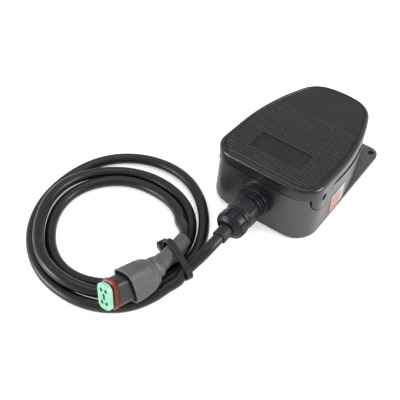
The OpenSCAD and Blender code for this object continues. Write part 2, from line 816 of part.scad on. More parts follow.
coil_gap = min([for (i = [0:len(coil_path) - 1]) for (j = [i + half_turn:1:len(coil_path) - 1])
    norm(coil_path[i] - coil_path[j]) - cord_d]);
echo(coil_least_gap = coil_gap, coil_start = coil_start);
module cord_coil() {
    color([0.09, 0.09, 0.095])
        tube(coil_path, cord_r, coil_sides);
}

// The free stretch from the sleeve down to the coil
lead_route = [
    [0, sleeve_y0, gland_z], [0, -110, 21.9], [-0.3, -114, 21.2], [-0.9, -118, 19.9], [-1.8, -122, 18.2],
    [-3, -126, 16.3], [-4.3, -130, 14.5], [-5.7, -134, 12.8]];
lead_path = concat(lead_route, [coil_start]);
lead_gap = min([for (p = lead_route) for (i = [2:len(coil_path) - 1]) norm(p - coil_path[i]) - cord_d]);
echo(lead_least_gap = lead_gap);
module cord_lead() {
    color([0.09, 0.09, 0.095])
        tube(lead_path, cord_r, 12);
}

// Plug, drawn along -Y from its boot and turned into place
plug_place = [-21.9, -171, 24.4];
plug_turn = -9.4;
plug_rise = 18;
plug_roll = 70;
plug_dir = [sin(plug_turn) * cos(plug_rise), -cos(plug_turn) * cos(plug_rise), sin(plug_rise)];
plug_corner_r = 4.2;
snout_l = 4.5;
snout_inset = 1.7;
snout_w = plug_w - 2 * snout_inset;
snout_h = plug_h - 2 * snout_inset;
wedge_y1 = -plug_l - snout_l;
wedge_t = 2.5;
seal_t = 3;
module plug_frame() {
    translate(plug_place)
        rotate([0, 0, plug_turn])
            rotate([-plug_rise, 0, 0])
                rotate([0, plug_roll, 0])
                    children();
}
module block_y(w, h, r, y0, y1) {
    translate([0, y1, 0])
        rotate([90, 0, 0])
            linear_extrude(y1 - y0)
                polygon(rounded(w, h, r));
}
function rounded(w, h, r) = concat(
    arc([w / 2 - r, h / 2 - r], r, 0, 90, 4), arc([r - w / 2, h / 2 - r], r, 90, 180, 4),
    arc([r - w / 2, r - h / 2], r, 180, 270, 4), arc([w / 2 - r, r - h / 2], r, 270, 360, 4));
contact_dx = 4.25;
contact_dz = 2.2;
contact_r = 1.3;
plug_back = 8;
module contact_places() {
    for (sx = [-1, 1])
        for (sz = [-1, 1])
            translate([sx * contact_dx, 0, sz * contact_dz])
                children();
}
module plug_housing() {
    color([0.07, 0.07, 0.075])
        plug_frame()
            difference() {
                union() {
                    block_y(plug_w, plug_h, plug_corner_r, -plug_l, plug_back);
                    block_y(snout_w, snout_h, plug_corner_r - snout_inset, -plug_l - snout_l, -plug_l);
                }
                contact_places()
                    rod_y(0, 0, contact_r + fit, -big, big);
            }
}
module plug_seal() {
    color("orangered")
        plug_frame()
            difference() {
                block_y(plug_w + skin, plug_h + skin, plug_corner_r,
                    -plug_l - seal_t - skin, -plug_l - skin);
                block_y(snout_w + fit, snout_h + fit, plug_corner_r - snout_inset, -big, big);
            }
}
module plug_wedge() {
    color("aquamarine")
        plug_frame()
            difference() {
                block_y(plug_w - 1, plug_h - 1, plug_corner_r, wedge_y1 - wedge_t, wedge_y1);
                contact_places()
                    rod_y(0, 0, contact_r, -big, big);
                block_y(4.2, 2, 0.4, -big, big);
            }
}
module plug_contact(i) {
    sx = i % 2 == 0 ? -1 : 1;
    sz = i < 2 ? -1 : 1;
    color("gold")
        plug_frame()
            difference() {
                rod_y(sx * contact_dx, sz * contact_dz, contact_r, -plug_l - snout_l + 0.5, plug_back - 2);
                rod_y(sx * contact_dx, sz * contact_dz, contact_r - 0.4, -big, -plug_l + 4);
            }
}

// Boot: an oval rubber sleeve from the coil's end to the plug, swept along its own bent axis
boot_axis = [
    [-21.8, -114.5, 14.1], [-21.3, -119, 14.4], [-20.9, -123.4, 14.8], [-20.5, -128, 15.5],
    [-20.1, -133, 16.4], [-19.7, -138, 17.5], [-19.3, -144, 19], [-19.2, -150, 20.2],
    [-19.5, -156, 21], [-20.5, -163, 22.2], plug_place];
boot_half_w = [5.2, 5.3, 5.4, 5.5, 5.5, 5.7, 6.6, 8.8, 11.2, 11.8, 11.8];
boot_half_h = [5.2, 5.3, 5.4, 5.5, 5.6, 6, 6.6, 7.6, 8.5, 8.7, 8.8];
boot_square = [1, 1, 1, 1, 1, 0.9, 0.85, 0.7, 0.6, 0.55, 0.55];
boot_roll = [0, 0, 0, 0, 0, 8, 28, 50, 64, 70, 70];
boot_skew = 3.2;
boot_ring_n = 32;
coil_mouth = [coil_end + 2 * (coil_end_route[2] - coil_end), coil_end_route[2], coil_end];
function oval(a, w, h, e) =
    [w * sign(cos(a)) * pow(abs(cos(a)), e), h * sign(sin(a)) * pow(abs(sin(a)), e)];
function boot_ring(i) =
    let (mouth = i == len(boot_axis) - 1, t = mouth ? plug_dir : heading(boot_axis, i), r = boot_roll[i])
    let (s0 = unit(cross([0, 0, 1], t)), u0 = cross(t, s0), skew = mouth ? boot_skew / boot_half_w[i] : 0)
    let (s = cos(r) * s0 - sin(r) * u0 - skew * t, u = cos(r) * u0 + sin(r) * s0)
    [for (k = [0:boot_ring_n - 1])
        let (q = oval(360 * (k + 0.5) / boot_ring_n, boot_half_w[i], boot_half_h[i], boot_square[i]))
            boot_axis[i] + q[0] * s + q[1] * u];
module plug_boot() {
    color("gray")
        difference() {
            loft([for (i = [0:len(boot_axis) - 1]) boot_ring(i)]);
            tube(coil_mouth, cord_r + run_gap, 24);
            plug_frame()
                block_y(plug_w + 2 * fit, plug_h + 2 * fit, plug_corner_r, -boot_skew - 1, plug_back + fit);
        }
}

// Cable tie round the bundle, in a plane turned a little from the cords
tie_place = [-13.5, -130.5, 0];
tie_turn = -20;
tie_w = 4.6;
tie_t = 1.1;
tie_head_size = [6.2, 6, 7.4];
tie_round = [[-7.6, 5.9, 4.5], [2.6, 5.9, 4.5], [8.9, 13.1, 5.3], [-8.7, 15.4, 7.2]];
tie_head_place = [-20.2, 8, 0];
tie_neck = [6, 2.4, tie_w];
module tie_loop(extra) {
    hull()
        for (c = tie_round)
            translate([c[0], c[1]])
                circle(r = c[2] + extra, $fn = 32);
}
module tie_frame() {
    translate(tie_place)
        rotate([90, 0, tie_turn])
            children();
}
module tie_strap() {
    color("black")
        tie_frame()
            linear_extrude(tie_w, center = true)
                difference() {
                    tie_loop(tie_t);
                    tie_loop(0);
                }
}
module tie_head() {
    color("black")
        tie_frame()
            difference() {
                union() {
                    translate(tie_head_place)
                        cube(tie_head_size, center = true);
                    translate(tie_head_place + [tie_neck[0] / 2, 0, 0])
                        cube(tie_neck, center = true);
                }
                translate(tie_head_place)
                    cube([1.4, big, tie_w], center = true);
                linear_extrude(big, center = true)
                    tie_loop(tie_t + fit);
            }
}

// Inner leads from the cable's end to the switch terminals
inner_r = 0.7;
inner_routes = [
    [[0, tail_y1, 20.6], [0, -44, 20.6], [0, -40, 19], [0, -35, 15.4], [0, -30, 11.3],
        [0, -25, 8], [0, -21.8, 7]],
    [[-1.6, tail_y1, 22], [-1.6, -44, 22], [-1.8, -40, 20.8], [-2.2, -35, 16.4], [-2.4, -30, 11.6],
        [-2.4, -25, 8.4], [-2.2, -20, 7.2], [-1.9, -13.5, 7]],
    [[1.6, tail_y1, 22], [1.6, -44, 22], [1.8, -40, 20.8], [2, -35, 16.4], [2, -30, 11.6],
        [2, -25, 8.4], [2, -20, 7.2], [2, -13, 7], [1.9, -6, 7]]];
module inner_lead(i) {
    color(["firebrick", "white", "royalblue"][i])
        tube(inner_routes[i], inner_r, 8);
}

base_plate();
base_pad();
base_screw(0);  // base_screw_1
base_screw(1);  // base_screw_2
base_screw(2);  // base_screw_3
base_screw(3);  // base_screw_4
gasket();
housing();
side_label();
pivot_pin(-1);  // pivot_pin_left
pivot_pin(1);  // pivot_pin_right
pivot_bush(-1);  // pivot_bush_left
pivot_bush(1);  // pivot_bush_right
pedal();
return_spring();
stop_bumper(-1);  // stop_bumper_left
stop_bumper(1);  // stop_bumper_right
rest_bumper(-1);  // rest_bumper_left
rest_bumper(1);  // rest_bumper_right
plunger_bush();
plunger();
plunger_bellows();
switch_body();
switch_button();
switch_lever();
switch_terminals();
switch_bracket();
switch_screw(0);  // switch_screw_1
switch_screw(1);  // switch_screw_2
inner_lead(0);  // inner_lead_1
inner_lead(1);  // inner_lead_2
inner_lead(2);  // inner_lead_3
gland_body();
gland_locknut();
gland_nut();
gland_crown();
cord_sleeve();
cord_tail();
cord_lead();
cord_coil();
tie_strap();
tie_head();
plug_boot();
plug_housing();
plug_seal();
plug_wedge();
plug_contact(0);  // plug_contact_1
plug_contact(1);  // plug_contact_2
plug_contact(2);  // plug_contact_3
plug_contact(3);  // plug_contact_4
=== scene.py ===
# %% [markdown]
# # Treadle foot switch
# The real thing is a floor switch with a ribbed pedal that rocks over a moulded housing. A cable gland
# at its cable end holds a lead that lies in three loops and ends in a booted four-way sealed plug.
# The rigid parts come from model.glb, grouped into bodies by model.json, and this lesson dresses them for
# the camera, piece by piece. Sizes are in millimetres, and MM turns them into Blender's metres.

import json
import math

import bmesh
import bpy
import numpy as np
from mathutils import Matrix, Vector

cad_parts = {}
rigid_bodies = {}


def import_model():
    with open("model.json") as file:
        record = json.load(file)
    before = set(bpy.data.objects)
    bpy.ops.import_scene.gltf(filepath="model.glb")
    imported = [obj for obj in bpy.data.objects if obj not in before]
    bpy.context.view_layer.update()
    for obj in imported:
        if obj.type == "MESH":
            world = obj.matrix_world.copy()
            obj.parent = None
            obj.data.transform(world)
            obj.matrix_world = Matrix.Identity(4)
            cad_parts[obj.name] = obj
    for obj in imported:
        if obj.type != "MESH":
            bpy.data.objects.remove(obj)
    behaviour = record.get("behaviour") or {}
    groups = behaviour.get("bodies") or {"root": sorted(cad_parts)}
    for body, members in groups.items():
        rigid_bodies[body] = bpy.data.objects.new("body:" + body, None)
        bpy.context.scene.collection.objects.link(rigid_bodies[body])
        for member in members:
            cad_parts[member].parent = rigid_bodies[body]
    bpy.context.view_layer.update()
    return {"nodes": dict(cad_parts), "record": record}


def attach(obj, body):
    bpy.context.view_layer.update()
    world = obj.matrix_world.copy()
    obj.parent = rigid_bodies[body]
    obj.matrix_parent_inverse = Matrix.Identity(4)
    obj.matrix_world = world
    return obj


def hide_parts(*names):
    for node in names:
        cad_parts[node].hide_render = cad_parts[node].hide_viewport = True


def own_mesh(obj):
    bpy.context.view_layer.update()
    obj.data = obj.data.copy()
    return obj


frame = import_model()
NODES = frame["nodes"]
RECORD = frame["record"]
BODY_OF = {n: body for body, members in RECORD["behaviour"]["bodies"].items() for n in members}
SLOT_OF = {s["node"]: s["material_slot"] for s in RECORD["subparts"]}
MM = 0.001

# %% [markdown]
# ## Camera
# The photograph was taken from above and in front of the cable end. Its straight edges and the circles
# of the gland give the place and the direction of the lens, so the camera is set by numbers here and
# every piece can be compared with the photograph spot by spot.

# %% Camera
eye = Vector((0.152717, -0.323506, 0.363447))
right = Vector((0.79325, 0.60890, 0))
up = Vector((-0.45695, 0.59530, 0.66092))
back = Vector((0.40243, -0.52427, 0.75046))
lens = bpy.data.cameras.new("lens")
lens.lens = 58.5
lens.sensor_width = 36
lens.clip_start, lens.clip_end = 0.01, 20
camera = bpy.data.objects.new("camera", lens)
bpy.context.scene.collection.objects.link(camera)
bpy.context.scene.camera = camera
camera.matrix_world = Matrix.Translation(eye) @ Matrix((right, up, back)).transposed().to_4x4()
print("camera", round(eye.length, 3), "m from the origin")

# %% [markdown]
# ## Small helpers
# A piece is a mesh in the shared frame, with its object at the origin. The first helper puts it in the
# scene, lets it ride on its body, hides the node that it stands for and names its material slot.
# Sharp edges are marked by angle, so that a fine mesh shades smoothly between them.

# %% Helpers
SHARP = 32


def place(obj, body, material, replaces=()):
    if obj.name not in bpy.context.scene.collection.objects:
        bpy.context.scene.collection.objects.link(obj)
    if material is not None:
        obj.data.materials.clear()
        obj.data.materials.append(material)
    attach(obj, body)
    if replaces:
        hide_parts(*replaces)
    return obj


def smooth(mesh, angle=SHARP):
    mesh.polygons.foreach_set("use_smooth", [True] * len(mesh.polygons))
    mesh.set_sharp_from_angle(angle=math.radians(angle))
    mesh.update()


def mesh_of(name, points, faces, angle=SHARP):
    mesh = bpy.data.meshes.new(name)
    mesh.from_pydata([Vector(p) * MM for p in points], [], faces)
    bm = bmesh.new()
    bm.from_mesh(mesh)
    bmesh.ops.recalc_face_normals(bm, faces=bm.faces)
    bm.to_mesh(mesh)
    bm.free()
    smooth(mesh, angle)
    return mesh


def rings_mesh(name, rings, angle=SHARP, loop=False):
    """A skin through closed rings of points: with flat ends, or joined end to end as a loop."""
    n, m = len(rings[0]), len(rings)
    faces = []
    for k in range(m if loop else m - 1):
        a, b = k * n, (k + 1) % m * n
        faces += [(a + i, a + (i + 1) % n, b + (i + 1) % n, b + i) for i in range(n)]
    if not loop:
        faces += [list(range(n))[::-1], [(m - 1) * n + i for i in range(n)]]
    return mesh_of(name, [p for ring in rings for p in ring], faces, angle)


def baked(obj):
    """The object with its modifiers made real in its mesh, and the modifiers gone."""
    bpy.context.view_layer.update()
    shown = obj.evaluated_get(bpy.context.evaluated_depsgraph_get())
    mesh = bpy.data.meshes.new_from_object(shown)
    obj.modifiers.clear()
    obj.data = mesh
    return obj


def spline(values, t):
    """A smooth curve through values, which may be numbers, points or rows of a table."""
    i = min(int(t), len(values) - 2)
    f = t - i
    a, b, c, d = (np.array(values[min(max(j, 0), len(values) - 1)], float) for j in (i - 1, i, i + 1, i + 2))
    return b + 0.5 * f * (c - a + f * (2 * a - 5 * b + 4 * c - d + f * (3 * (b - c) + d - a)))


def unit(v):
    return np.array(v, float) / np.linalg.norm(v)


def around(n):
    """The angles of n points spread over a full turn."""
    return np.radians(np.arange(0, 360, 360 / n))


# %% [markdown]
# ## The cable
# The jacket is one black tube of 8 mm. It leaves the sleeve of the gland level, bends down to the floor,
# lies in three clockwise loops and climbs to the boot. The route has the same places as the solids:
# the radius and the height of the loops at every eighth of a turn, with a smooth curve between them.
# A curve with a round bevel is the natural way to make it, because its centreline is its real length.

# %% Cable route
GLAND_Z = 22
SLEEVE_Y = -104.2
CORD_R = 4
COIL_C = (-71, -125.8)
COIL_FROM = 20
COIL_TO = 1045
COIL_STEP = 7.5
EIGHTH = 45
COIL_RADIUS = [64.5, 69, 65, 62, 62, 66.7, 65.5, 60.3, 60, 59.2, 60.5, 56, 55.3,
               52.2, 49, 50.6, 51.6, 50.6, 52, 49, 48, 43.2, 40, 42.6, 46]
COIL_HEIGHT = [12, 5.4, 4, 4, 4, 4, 4, 4, 5.5, 5, 11.8, 10.2, 9.4,
               4.4, 4, 4, 5.5, 4.2, 4, 4, 4, 4, 4, 7.6, 15]
LEAD_ROUTE = [(0, SLEEVE_Y, GLAND_Z), (0, -110, 21.9), (-0.3, -114, 21.2), (-0.9, -118, 19.9),
              (-1.8, -122, 18.2), (-3, -126, 16.3), (-4.3, -130, 14.5), (-5.7, -134, 12.8)]
END_ROUTE = [(-28.6, -105.4, 11.8), (-23.8, -110.2, 13.4), (-21.7, -115.5, 14.2), (-20.9, -123.4, 14.6)]


def coil_at(degrees):
    r = spline(COIL_RADIUS, degrees / EIGHTH)
    a = math.radians(degrees)
    height = float(spline(COIL_HEIGHT, degrees / EIGHTH))
    return (COIL_C[0] + r * math.cos(a), COIL_C[1] - r * math.sin(a), height)


steps = round((COIL_TO - COIL_FROM) / COIL_STEP)
turns = [coil_at(COIL_FROM + (COIL_TO - COIL_FROM) * i / steps) for i in range(steps + 1)]
start = np.array(turns[0]) - unit(np.array(turns[2]) - np.array(turns[0])) * 2 * CORD_R
knots = LEAD_ROUTE + [tuple(start)] + turns + END_ROUTE
route = [tuple(spline(knots, i / 2)) for i in range(2 * (len(knots) - 1))] + [knots[-1]]
line = bpy.data.curves.new("cable", "CURVE")
line.dimensions = "3D"
run = line.splines.new("POLY")
run.points.add(len(route) - 1)
for point, p in zip(run.points, route):
    point.co = (p[0] * MM, p[1] * MM, p[2] * MM, 1)
run.use_smooth = True
line.bevel_depth = CORD_R * MM
line.bevel_resolution = 7
line.use_fill_caps = True
cable = bpy.data.objects.new("cable", line)

# %% [markdown]
# ## Shader groups
# Three small effects serve every surface. Grain is the fine texture of a mould or of rubber, with a
# slow mask that varies the gloss. Wear finds raised edges, which are rubbed pale or shiny.
# Dust settles on faces that look up. Each is a node group, so a change shows on all the pieces at once.

# %% Node helpers


def add(tree, kind, inputs=None, **settings):
    """A new node. An input that is another node's output is linked, and any other is set."""
    node = tree.nodes.new(kind)
    for key, value in settings.items():
        setattr(node, key, value)
    for key, value in (inputs or {}).items():
        if isinstance(value, bpy.types.NodeSocket):
            tree.links.new(value, node.inputs[key])
        else:
            node.inputs[key].default_value = value
    return node


def here(tree):
    return add(tree, "ShaderNodeTexCoord").outputs["Object"]


def noise(tree, where, scale, detail, rough=0.5):
    made = add(tree, "ShaderNodeTexNoise", {"Vector": where, "Scale": scale, "Detail": detail,
                                            "Roughness": rough})
    return made.outputs[0]


def ramp(tree, value, low, high, to_low=0.0, to_high=1.0):
    """The value stretched from low and high to the two new ends, and held between them."""
    made = add(tree, "ShaderNodeMapRange", {"Value": value, "From Min": low, "From Max": high,
                                            "To Min": to_low, "To Max": to_high})
    return made.outputs[0]


def times(tree, a, b):
    return add(tree, "ShaderNodeMath", {0: a, 1: b}, operation="MULTIPLY").outputs[0]


def blend(tree, factor, a, b):
    return add(tree, "ShaderNodeMix", {0: factor, 6: a, 7: b}, data_type="RGBA").outputs[2]


# %% Grain, wear and dust
def new_group(name, label, value, outputs):
    """A shader group with one named number to set, and the outputs that are named."""
    tree = bpy.data.node_groups.new(name, "ShaderNodeTree")
    size = tree.interface.new_socket(label, in_out="INPUT", socket_type="NodeSocketFloat")
    size.default_value = value
    for each in outputs:
        tree.interface.new_socket(each, in_out="OUTPUT", socket_type="NodeSocketFloat")
    return tree, tree.nodes.new("NodeGroupInput"), tree.nodes.new("NodeGroupOutput")


def grain_group():
    tree, gin, gout = new_group("grain", "Scale", 2500.0, ["Height", "Mask"])
    fine = noise(tree, here(tree), gin.outputs["Scale"], 3.0, 0.6)
    slow = noise(tree, here(tree), 70.0, 5.0, 0.65)
    tree.links.new(fine, gout.inputs["Height"])
    tree.links.new(ramp(tree, slow, 0.35, 0.65), gout.inputs["Mask"])
    return tree


def wear_group():
    tree, gin, gout = new_group("wear", "Reach", 0.56, ["Edge"])
    geometry = add(tree, "ShaderNodeNewGeometry")
    raised = ramp(tree, geometry.outputs["Pointiness"], 0.51, gin.outputs["Reach"])
    rubbed = noise(tree, here(tree), 320.0, 4.0)
    tree.links.new(times(tree, raised, rubbed), gout.inputs["Edge"])
    return tree


def dust_group():
    tree, gin, gout = new_group("dust", "Scale", 900.0, ["Dust"])
    geometry = add(tree, "ShaderNodeNewGeometry")
    axes = add(tree, "ShaderNodeSeparateXYZ", {0: geometry.outputs["Normal"]})
    facing = ramp(tree, axes.outputs["Z"], 0.55, 1.0)
    specks = noise(tree, here(tree), gin.outputs["Scale"], 6.0, 0.75)
    tree.links.new(times(tree, facing, ramp(tree, specks, 0.5, 0.75)), gout.inputs["Dust"])
    return tree


GRAIN, WEAR, DUST = grain_group(), wear_group(), dust_group()
DUST_COLOR = (0.5, 0.49, 0.47, 1)
print("shader groups", [group.name for group in (GRAIN, WEAR, DUST)])

# %% One surface from the three effects
MASKED_SHADE = 0.82
BUMP_DEPTH = 0.4 * MM


def use(tree, shared, **inputs):
    node = add(tree, "ShaderNodeGroup", node_tree=shared)
    for key, value in inputs.items():
        node.inputs[key].default_value = value
    return node


def surface(name, color, rough, worn, scale, bump, metal=0.0, dust=0.04, sheen=0.0, spread=0.08,
            specular=0.5, extra=None):
    """A material with grain, a varied gloss, worn edges and a little dust.

    extra is a function that adds a finish's own colour and height to them.
    """
    material = bpy.data.materials.new(name)
    material.use_nodes = True
    tree = material.node_tree
    shader = tree.nodes["Principled BSDF"]
    shader.inputs["Metallic"].default_value = metal
    shader.inputs["Specular IOR Level"].default_value = specular
    shader.inputs["Sheen Weight"].default_value = sheen
    grain = use(tree, GRAIN, Scale=scale)
    darker = (*[c * MASKED_SHADE for c in color], 1)
    shade = blend(tree, grain.outputs["Mask"], (*color, 1), darker)
    height = grain.outputs["Height"]
    if extra:
        shade, height = extra(tree, shade, height)
    if worn:
        shade = blend(tree, use(tree, WEAR).outputs["Edge"], shade, (*worn, 1))
    if dust:
        shade = blend(tree, times(tree, use(tree, DUST).outputs["Dust"], dust), shade, DUST_COLOR)
    tree.links.new(shade, shader.inputs["Base Color"])
    gloss = ramp(tree, grain.outputs["Mask"], 0.0, 1.0, rough - spread / 2, rough + spread / 2)
    tree.links.new(gloss, shader.inputs["Roughness"])
    bumped = add(tree, "ShaderNodeBump", {"Height": height, "Strength": bump, "Distance": BUMP_DEPTH})
    tree.links.new(bumped.outputs["Normal"], shader.inputs["Normal"])
    return material


# %% [markdown]
# ## Materials
# Each material slot of the record gets its look from the photograph: dark steel plate, half gloss black
# housing, matte pedal with rubbed crests, bluish black gland, scuffed cable jacket, grey boot rubber,
# red seal and mint wedge. Four finishes need more than grain: brushed metal, the fine lines of the tie,
# the scuffs of the jacket and the film of the label. One table then lists every surface, because a look
# is easiest to judge beside the others. The glossy edge of the pedal and the dark pins have looks of
# their own within their slots.


# %% Finishes of their own
def brushed(tree, shade, height):
    thin = add(tree, "ShaderNodeMapping", {"Vector": here(tree), "Scale": (400.0, 6000.0, 400.0)})
    return shade, noise(tree, thin.outputs[0], 1.0, 4.0)


def strap_lines(tree, shade, height):
    waves = add(tree, "ShaderNodeTexWave", {"Vector": here(tree), "Scale": 320.0, "Distortion": 0.4},
                bands_direction="Z")
    lines = add(tree, "ShaderNodeMath", {0: waves.outputs["Fac"], 1: height}, operation="ADD")
    return shade, lines.outputs[0]


def jacket(tree, shade, height):
    scuffs = noise(tree, here(tree), 260.0, 8.0, 0.7)
    return blend(tree, ramp(tree, scuffs, 0.58, 0.72, 0.0, 0.5), shade, (0.05, 0.046, 0.045, 1)), height


# Where the label's warm patch fades out, in metres along the side and up it
PATCH_END = (-0.0145, -0.0135)
PATCH_TOP = (0.0215, 0.0207)


def film(tree, shade, height):
    """The film without its print: grey, with one warm patch low at its cable end."""
    axes = add(tree, "ShaderNodeSeparateXYZ", {0: here(tree)})
    past = ramp(tree, axes.outputs["Y"], *PATCH_END)
    low = ramp(tree, axes.outputs["Z"], *PATCH_TOP)
    patch = add(tree, "ShaderNodeMath", {0: 1.0, 1: past}, operation="SUBTRACT")
    return blend(tree, times(tree, patch.outputs[0], low), shade, (0.3, 0.105, 0.07, 1)), height


# %% Materials
# Colour, roughness, colour where worn, scale of the grain, strength of the bump, and what else differs
FINISHES = {
    "plate_steel": ((0.005, 0.005, 0.0055), 0.42, (0.16, 0.16, 0.16), 1800, 0.1,
                    {"dust": 0.01, "specular": 0.25}),
    "pad_rubber": ((0.012, 0.012, 0.012), 0.75, None, 1200, 0.3, {"sheen": 0.1}),
    "housing_plastic": ((0.004, 0.004, 0.005), 0.34, (0.02, 0.02, 0.02), 1600, 0.04,
                        {"spread": 0.05, "dust": 0.006, "specular": 0.7}),
    "pedal_plastic": ((0.009, 0.009, 0.0095), 0.62, (0.045, 0.045, 0.045), 3000, 0.5,
                      {"specular": 0.2, "dust": 0.015}),
    "pedal_gloss": ((0.004, 0.004, 0.0045), 0.26, (0.025, 0.025, 0.025), 1800, 0.05,
                    {"spread": 0.06, "dust": 0.006, "specular": 0.35}),
    "gland_plastic": ((0.003, 0.003, 0.006), 0.36, (0.012, 0.013, 0.02), 2200, 0.1,
                      {"dust": 0.004, "specular": 0.25}),
    "label": ((0.26, 0.25, 0.235), 0.4, None, 900, 0.02, {"dust": 0, "extra": film}),
    "steel": ((0.5, 0.5, 0.5), 0.3, (0.75, 0.75, 0.75), 2500, 0.12, {"metal": 1.0, "extra": brushed}),
    "dark_steel": ((0.05, 0.05, 0.052), 0.4, (0.2, 0.2, 0.2), 2500, 0.15, {"metal": 0.8}),
    "bronze": ((0.07, 0.052, 0.038), 0.48, (0.16, 0.11, 0.08), 2500, 0.2, {"metal": 1.0}),
    "brass": ((0.7, 0.52, 0.22), 0.28, (0.85, 0.7, 0.4), 2500, 0.1, {"metal": 1.0}),
    "black_rubber": ((0.006, 0.006, 0.0065), 0.5, None, 1500, 0.25, {"dust": 0.01, "specular": 0.3}),
    "cord_jacket": ((0.004, 0.004, 0.004), 0.34, None, 1400, 0.12,
                    {"dust": 0.01, "specular": 0.3, "extra": jacket}),
    "switch_plastic": ((0.02, 0.02, 0.022), 0.5, (0.08, 0.08, 0.08), 2600, 0.2, {}),
    "button_red": ((0.5, 0.03, 0.02), 0.3, None, 1500, 0.05, {}),
    "wire_red": ((0.5, 0.02, 0.02), 0.4, None, 1500, 0.05, {}),
    "wire_white": ((0.7, 0.7, 0.68), 0.4, None, 1500, 0.05, {}),
    "wire_blue": ((0.03, 0.1, 0.5), 0.4, None, 1500, 0.05, {}),
    "tie_nylon": ((0.003, 0.003, 0.0035), 0.4, (0.015, 0.015, 0.015), 2000, 0.15,
                  {"dust": 0.004, "specular": 0.2, "extra": strap_lines}),
    "boot_rubber": ((0.06, 0.06, 0.062), 0.5, (0.12, 0.12, 0.12), 1300, 0.22,
                    {"spread": 0.14, "specular": 0.35}),
    "plug_plastic": ((0.005, 0.005, 0.0055), 0.4, (0.02, 0.02, 0.02), 2200, 0.12,
                     {"dust": 0.006, "specular": 0.3}),
    "seal_silicone": ((0.17, 0.012, 0.006), 0.4, None, 1500, 0.08, {}),
    "wedge_green": ((0.09, 0.36, 0.2), 0.42, (0.3, 0.5, 0.38), 2200, 0.1, {}),
}
LOOKS = {name: surface(name, *finish, **more) for name, (*finish, more) in FINISHES.items()}
for name, obj in NODES.items():
    obj.data.materials.clear()
    obj.data.materials.append(LOOKS[SLOT_OF[name]])
place(cable, "base_body", LOOKS["cord_jacket"], ("cord_lead", "cord_coil"))
print(len(LOOKS), "materials")

# %% [markdown]
# ## Hard parts from the solids
# Plate, housing, switch and fixings have the right shape already. Moulded and pressed edges are never
# knife sharp, so each gets a copy of its solid with a narrow round on its edges. The copy is cleaned
# first: doubled points are merged and flat triangles are joined, so that only true edges are rounded.

# %% Dress the solids
DOUBLED = 2e-6
FLAT = math.radians(0.6)
MARKS = ("custom_normal", "sharp_edge", "sharp_face")
ROUNDS = {
    "base_plate": 0.4, "base_pad": 0.2, "housing": 0.3, "switch_body": 0.15, "switch_bracket": 0.2,
    "tie_strap": 0.25, "tie_head": 0.5, "plug_housing": 0.35, "plug_wedge": 0.3, "gland_locknut": 0.25,
    "plunger_bush": 0.15, "stop_bumper_left": 0.4, "stop_bumper_right": 0.4, "rest_bumper_left": 0.4,
    "rest_bumper_right": 0.4, "pivot_pin_left": 0.3, "pivot_pin_right": 0.3,
}


def dress(node, bevel, material):
    bm = bmesh.new()
    bm.from_mesh(NODES[node].data)
    bmesh.ops.remove_doubles(bm, verts=bm.verts, dist=DOUBLED)
    bmesh.ops.dissolve_limit(bm, angle_limit=FLAT, verts=bm.verts, edges=bm.edges)
    mesh = bpy.data.meshes.new(node + "_round")
    bm.to_mesh(mesh)
    bm.free()
    for layer in [a.name for a in mesh.attributes if a.name in MARKS]:
        mesh.attributes.remove(mesh.attributes[layer])
    smooth(mesh)
    obj = bpy.data.objects.new(node + "_round", mesh)
    place(obj, BODY_OF[node], material, (node,))
    soft = obj.modifiers.new("round", "BEVEL")
    soft.width = bevel * MM
    soft.segments = 2
    soft.limit_method = "ANGLE"
    soft.angle_limit = math.radians(SHARP)
    soft.harden_normals = True
    baked(obj)


for node, bevel in ROUNDS.items():
    dress(node, bevel, LOOKS["dark_steel" if node.startswith("pivot_pin") else SLOT_OF[node]])
print("dressed", len(ROUNDS))

# %% [markdown]
# ## The pedal
# The pedal is one thick moulding: a sloping top with a rolled edge all round, a skirt that ends level at
# the cable end, and a round ear on each side that drops over the pivot. It is lofted ring by ring from
# its plan outline, because a ring can carry its own height at every point. The lowest ring follows the
# ears. A shallow groove inside the rolled edge frames the tread.

# %% Pedal sizes
# Plan: half width, both ends with their corner radii, the long side arc, its turn and where it starts
HALF_W = 41.76
REAR_Y = -57.8
REAR_R = 16
NOSE_Y = 61.6
NOSE_R = 23.1
SIDE_R = 175.7
SIDE_A = 22.1
WAIST_Y = -19.6
# Heights: the top at the cable end, its fall per millimetre, the skirt and its level edge
TOP_Z = 48.02
SLOPE = 0.08
SKIRT_H = 7.7
LEVEL_Z = 38
# The wall and the rolled edge
WALL = 3
ROLL_R = 3
# The pivot, the round ears outside EAR_X and the fillet from an ear up to the skirt
PIVOT_Y = -41
PIVOT_Z = 35.6
EAR_R = 10.8
EAR_X = 29
FILLET_R = 4
FILLET_Z = 33.7
FILLET_Y = PIVOT_Y + math.sqrt((EAR_R + FILLET_R) ** 2 - (FILLET_Z - PIVOT_Z) ** 2)
print("ear fillet at", round(FILLET_Y, 2))


# %% Pedal outline
def arc(cx, cy, r, a0, a1, n):
    turn = [math.radians(a0 + (a1 - a0) * i / n) for i in range(n + 1)]
    return [(cx + r * math.cos(a), cy + r * math.sin(a)) for a in turn]


def plan(inset):
    sx = HALF_W - SIDE_R
    cx = sx + (SIDE_R - NOSE_R) * math.cos(math.radians(SIDE_A))
    cy = WAIST_Y + (SIDE_R - NOSE_R) * math.sin(math.radians(SIDE_A))
    rise = NOSE_Y - cy
    end_r = (NOSE_R ** 2 - cx ** 2 - rise ** 2) / (2 * (NOSE_R - rise))
    end_a = math.degrees(math.atan2(end_r - rise, cx))
    half = arc(HALF_W - REAR_R, REAR_Y + REAR_R, REAR_R - inset, -90, 0, 24)
    half += arc(sx, WAIST_Y, SIDE_R - inset, 0, SIDE_A, 30)
    half += arc(cx, cy, NOSE_R - inset, SIDE_A, end_a, 24)
    half += arc(0, NOSE_Y - end_r, end_r - inset, end_a, 90, 20)
    return half + [(-x, y) for x, y in reversed(half)]


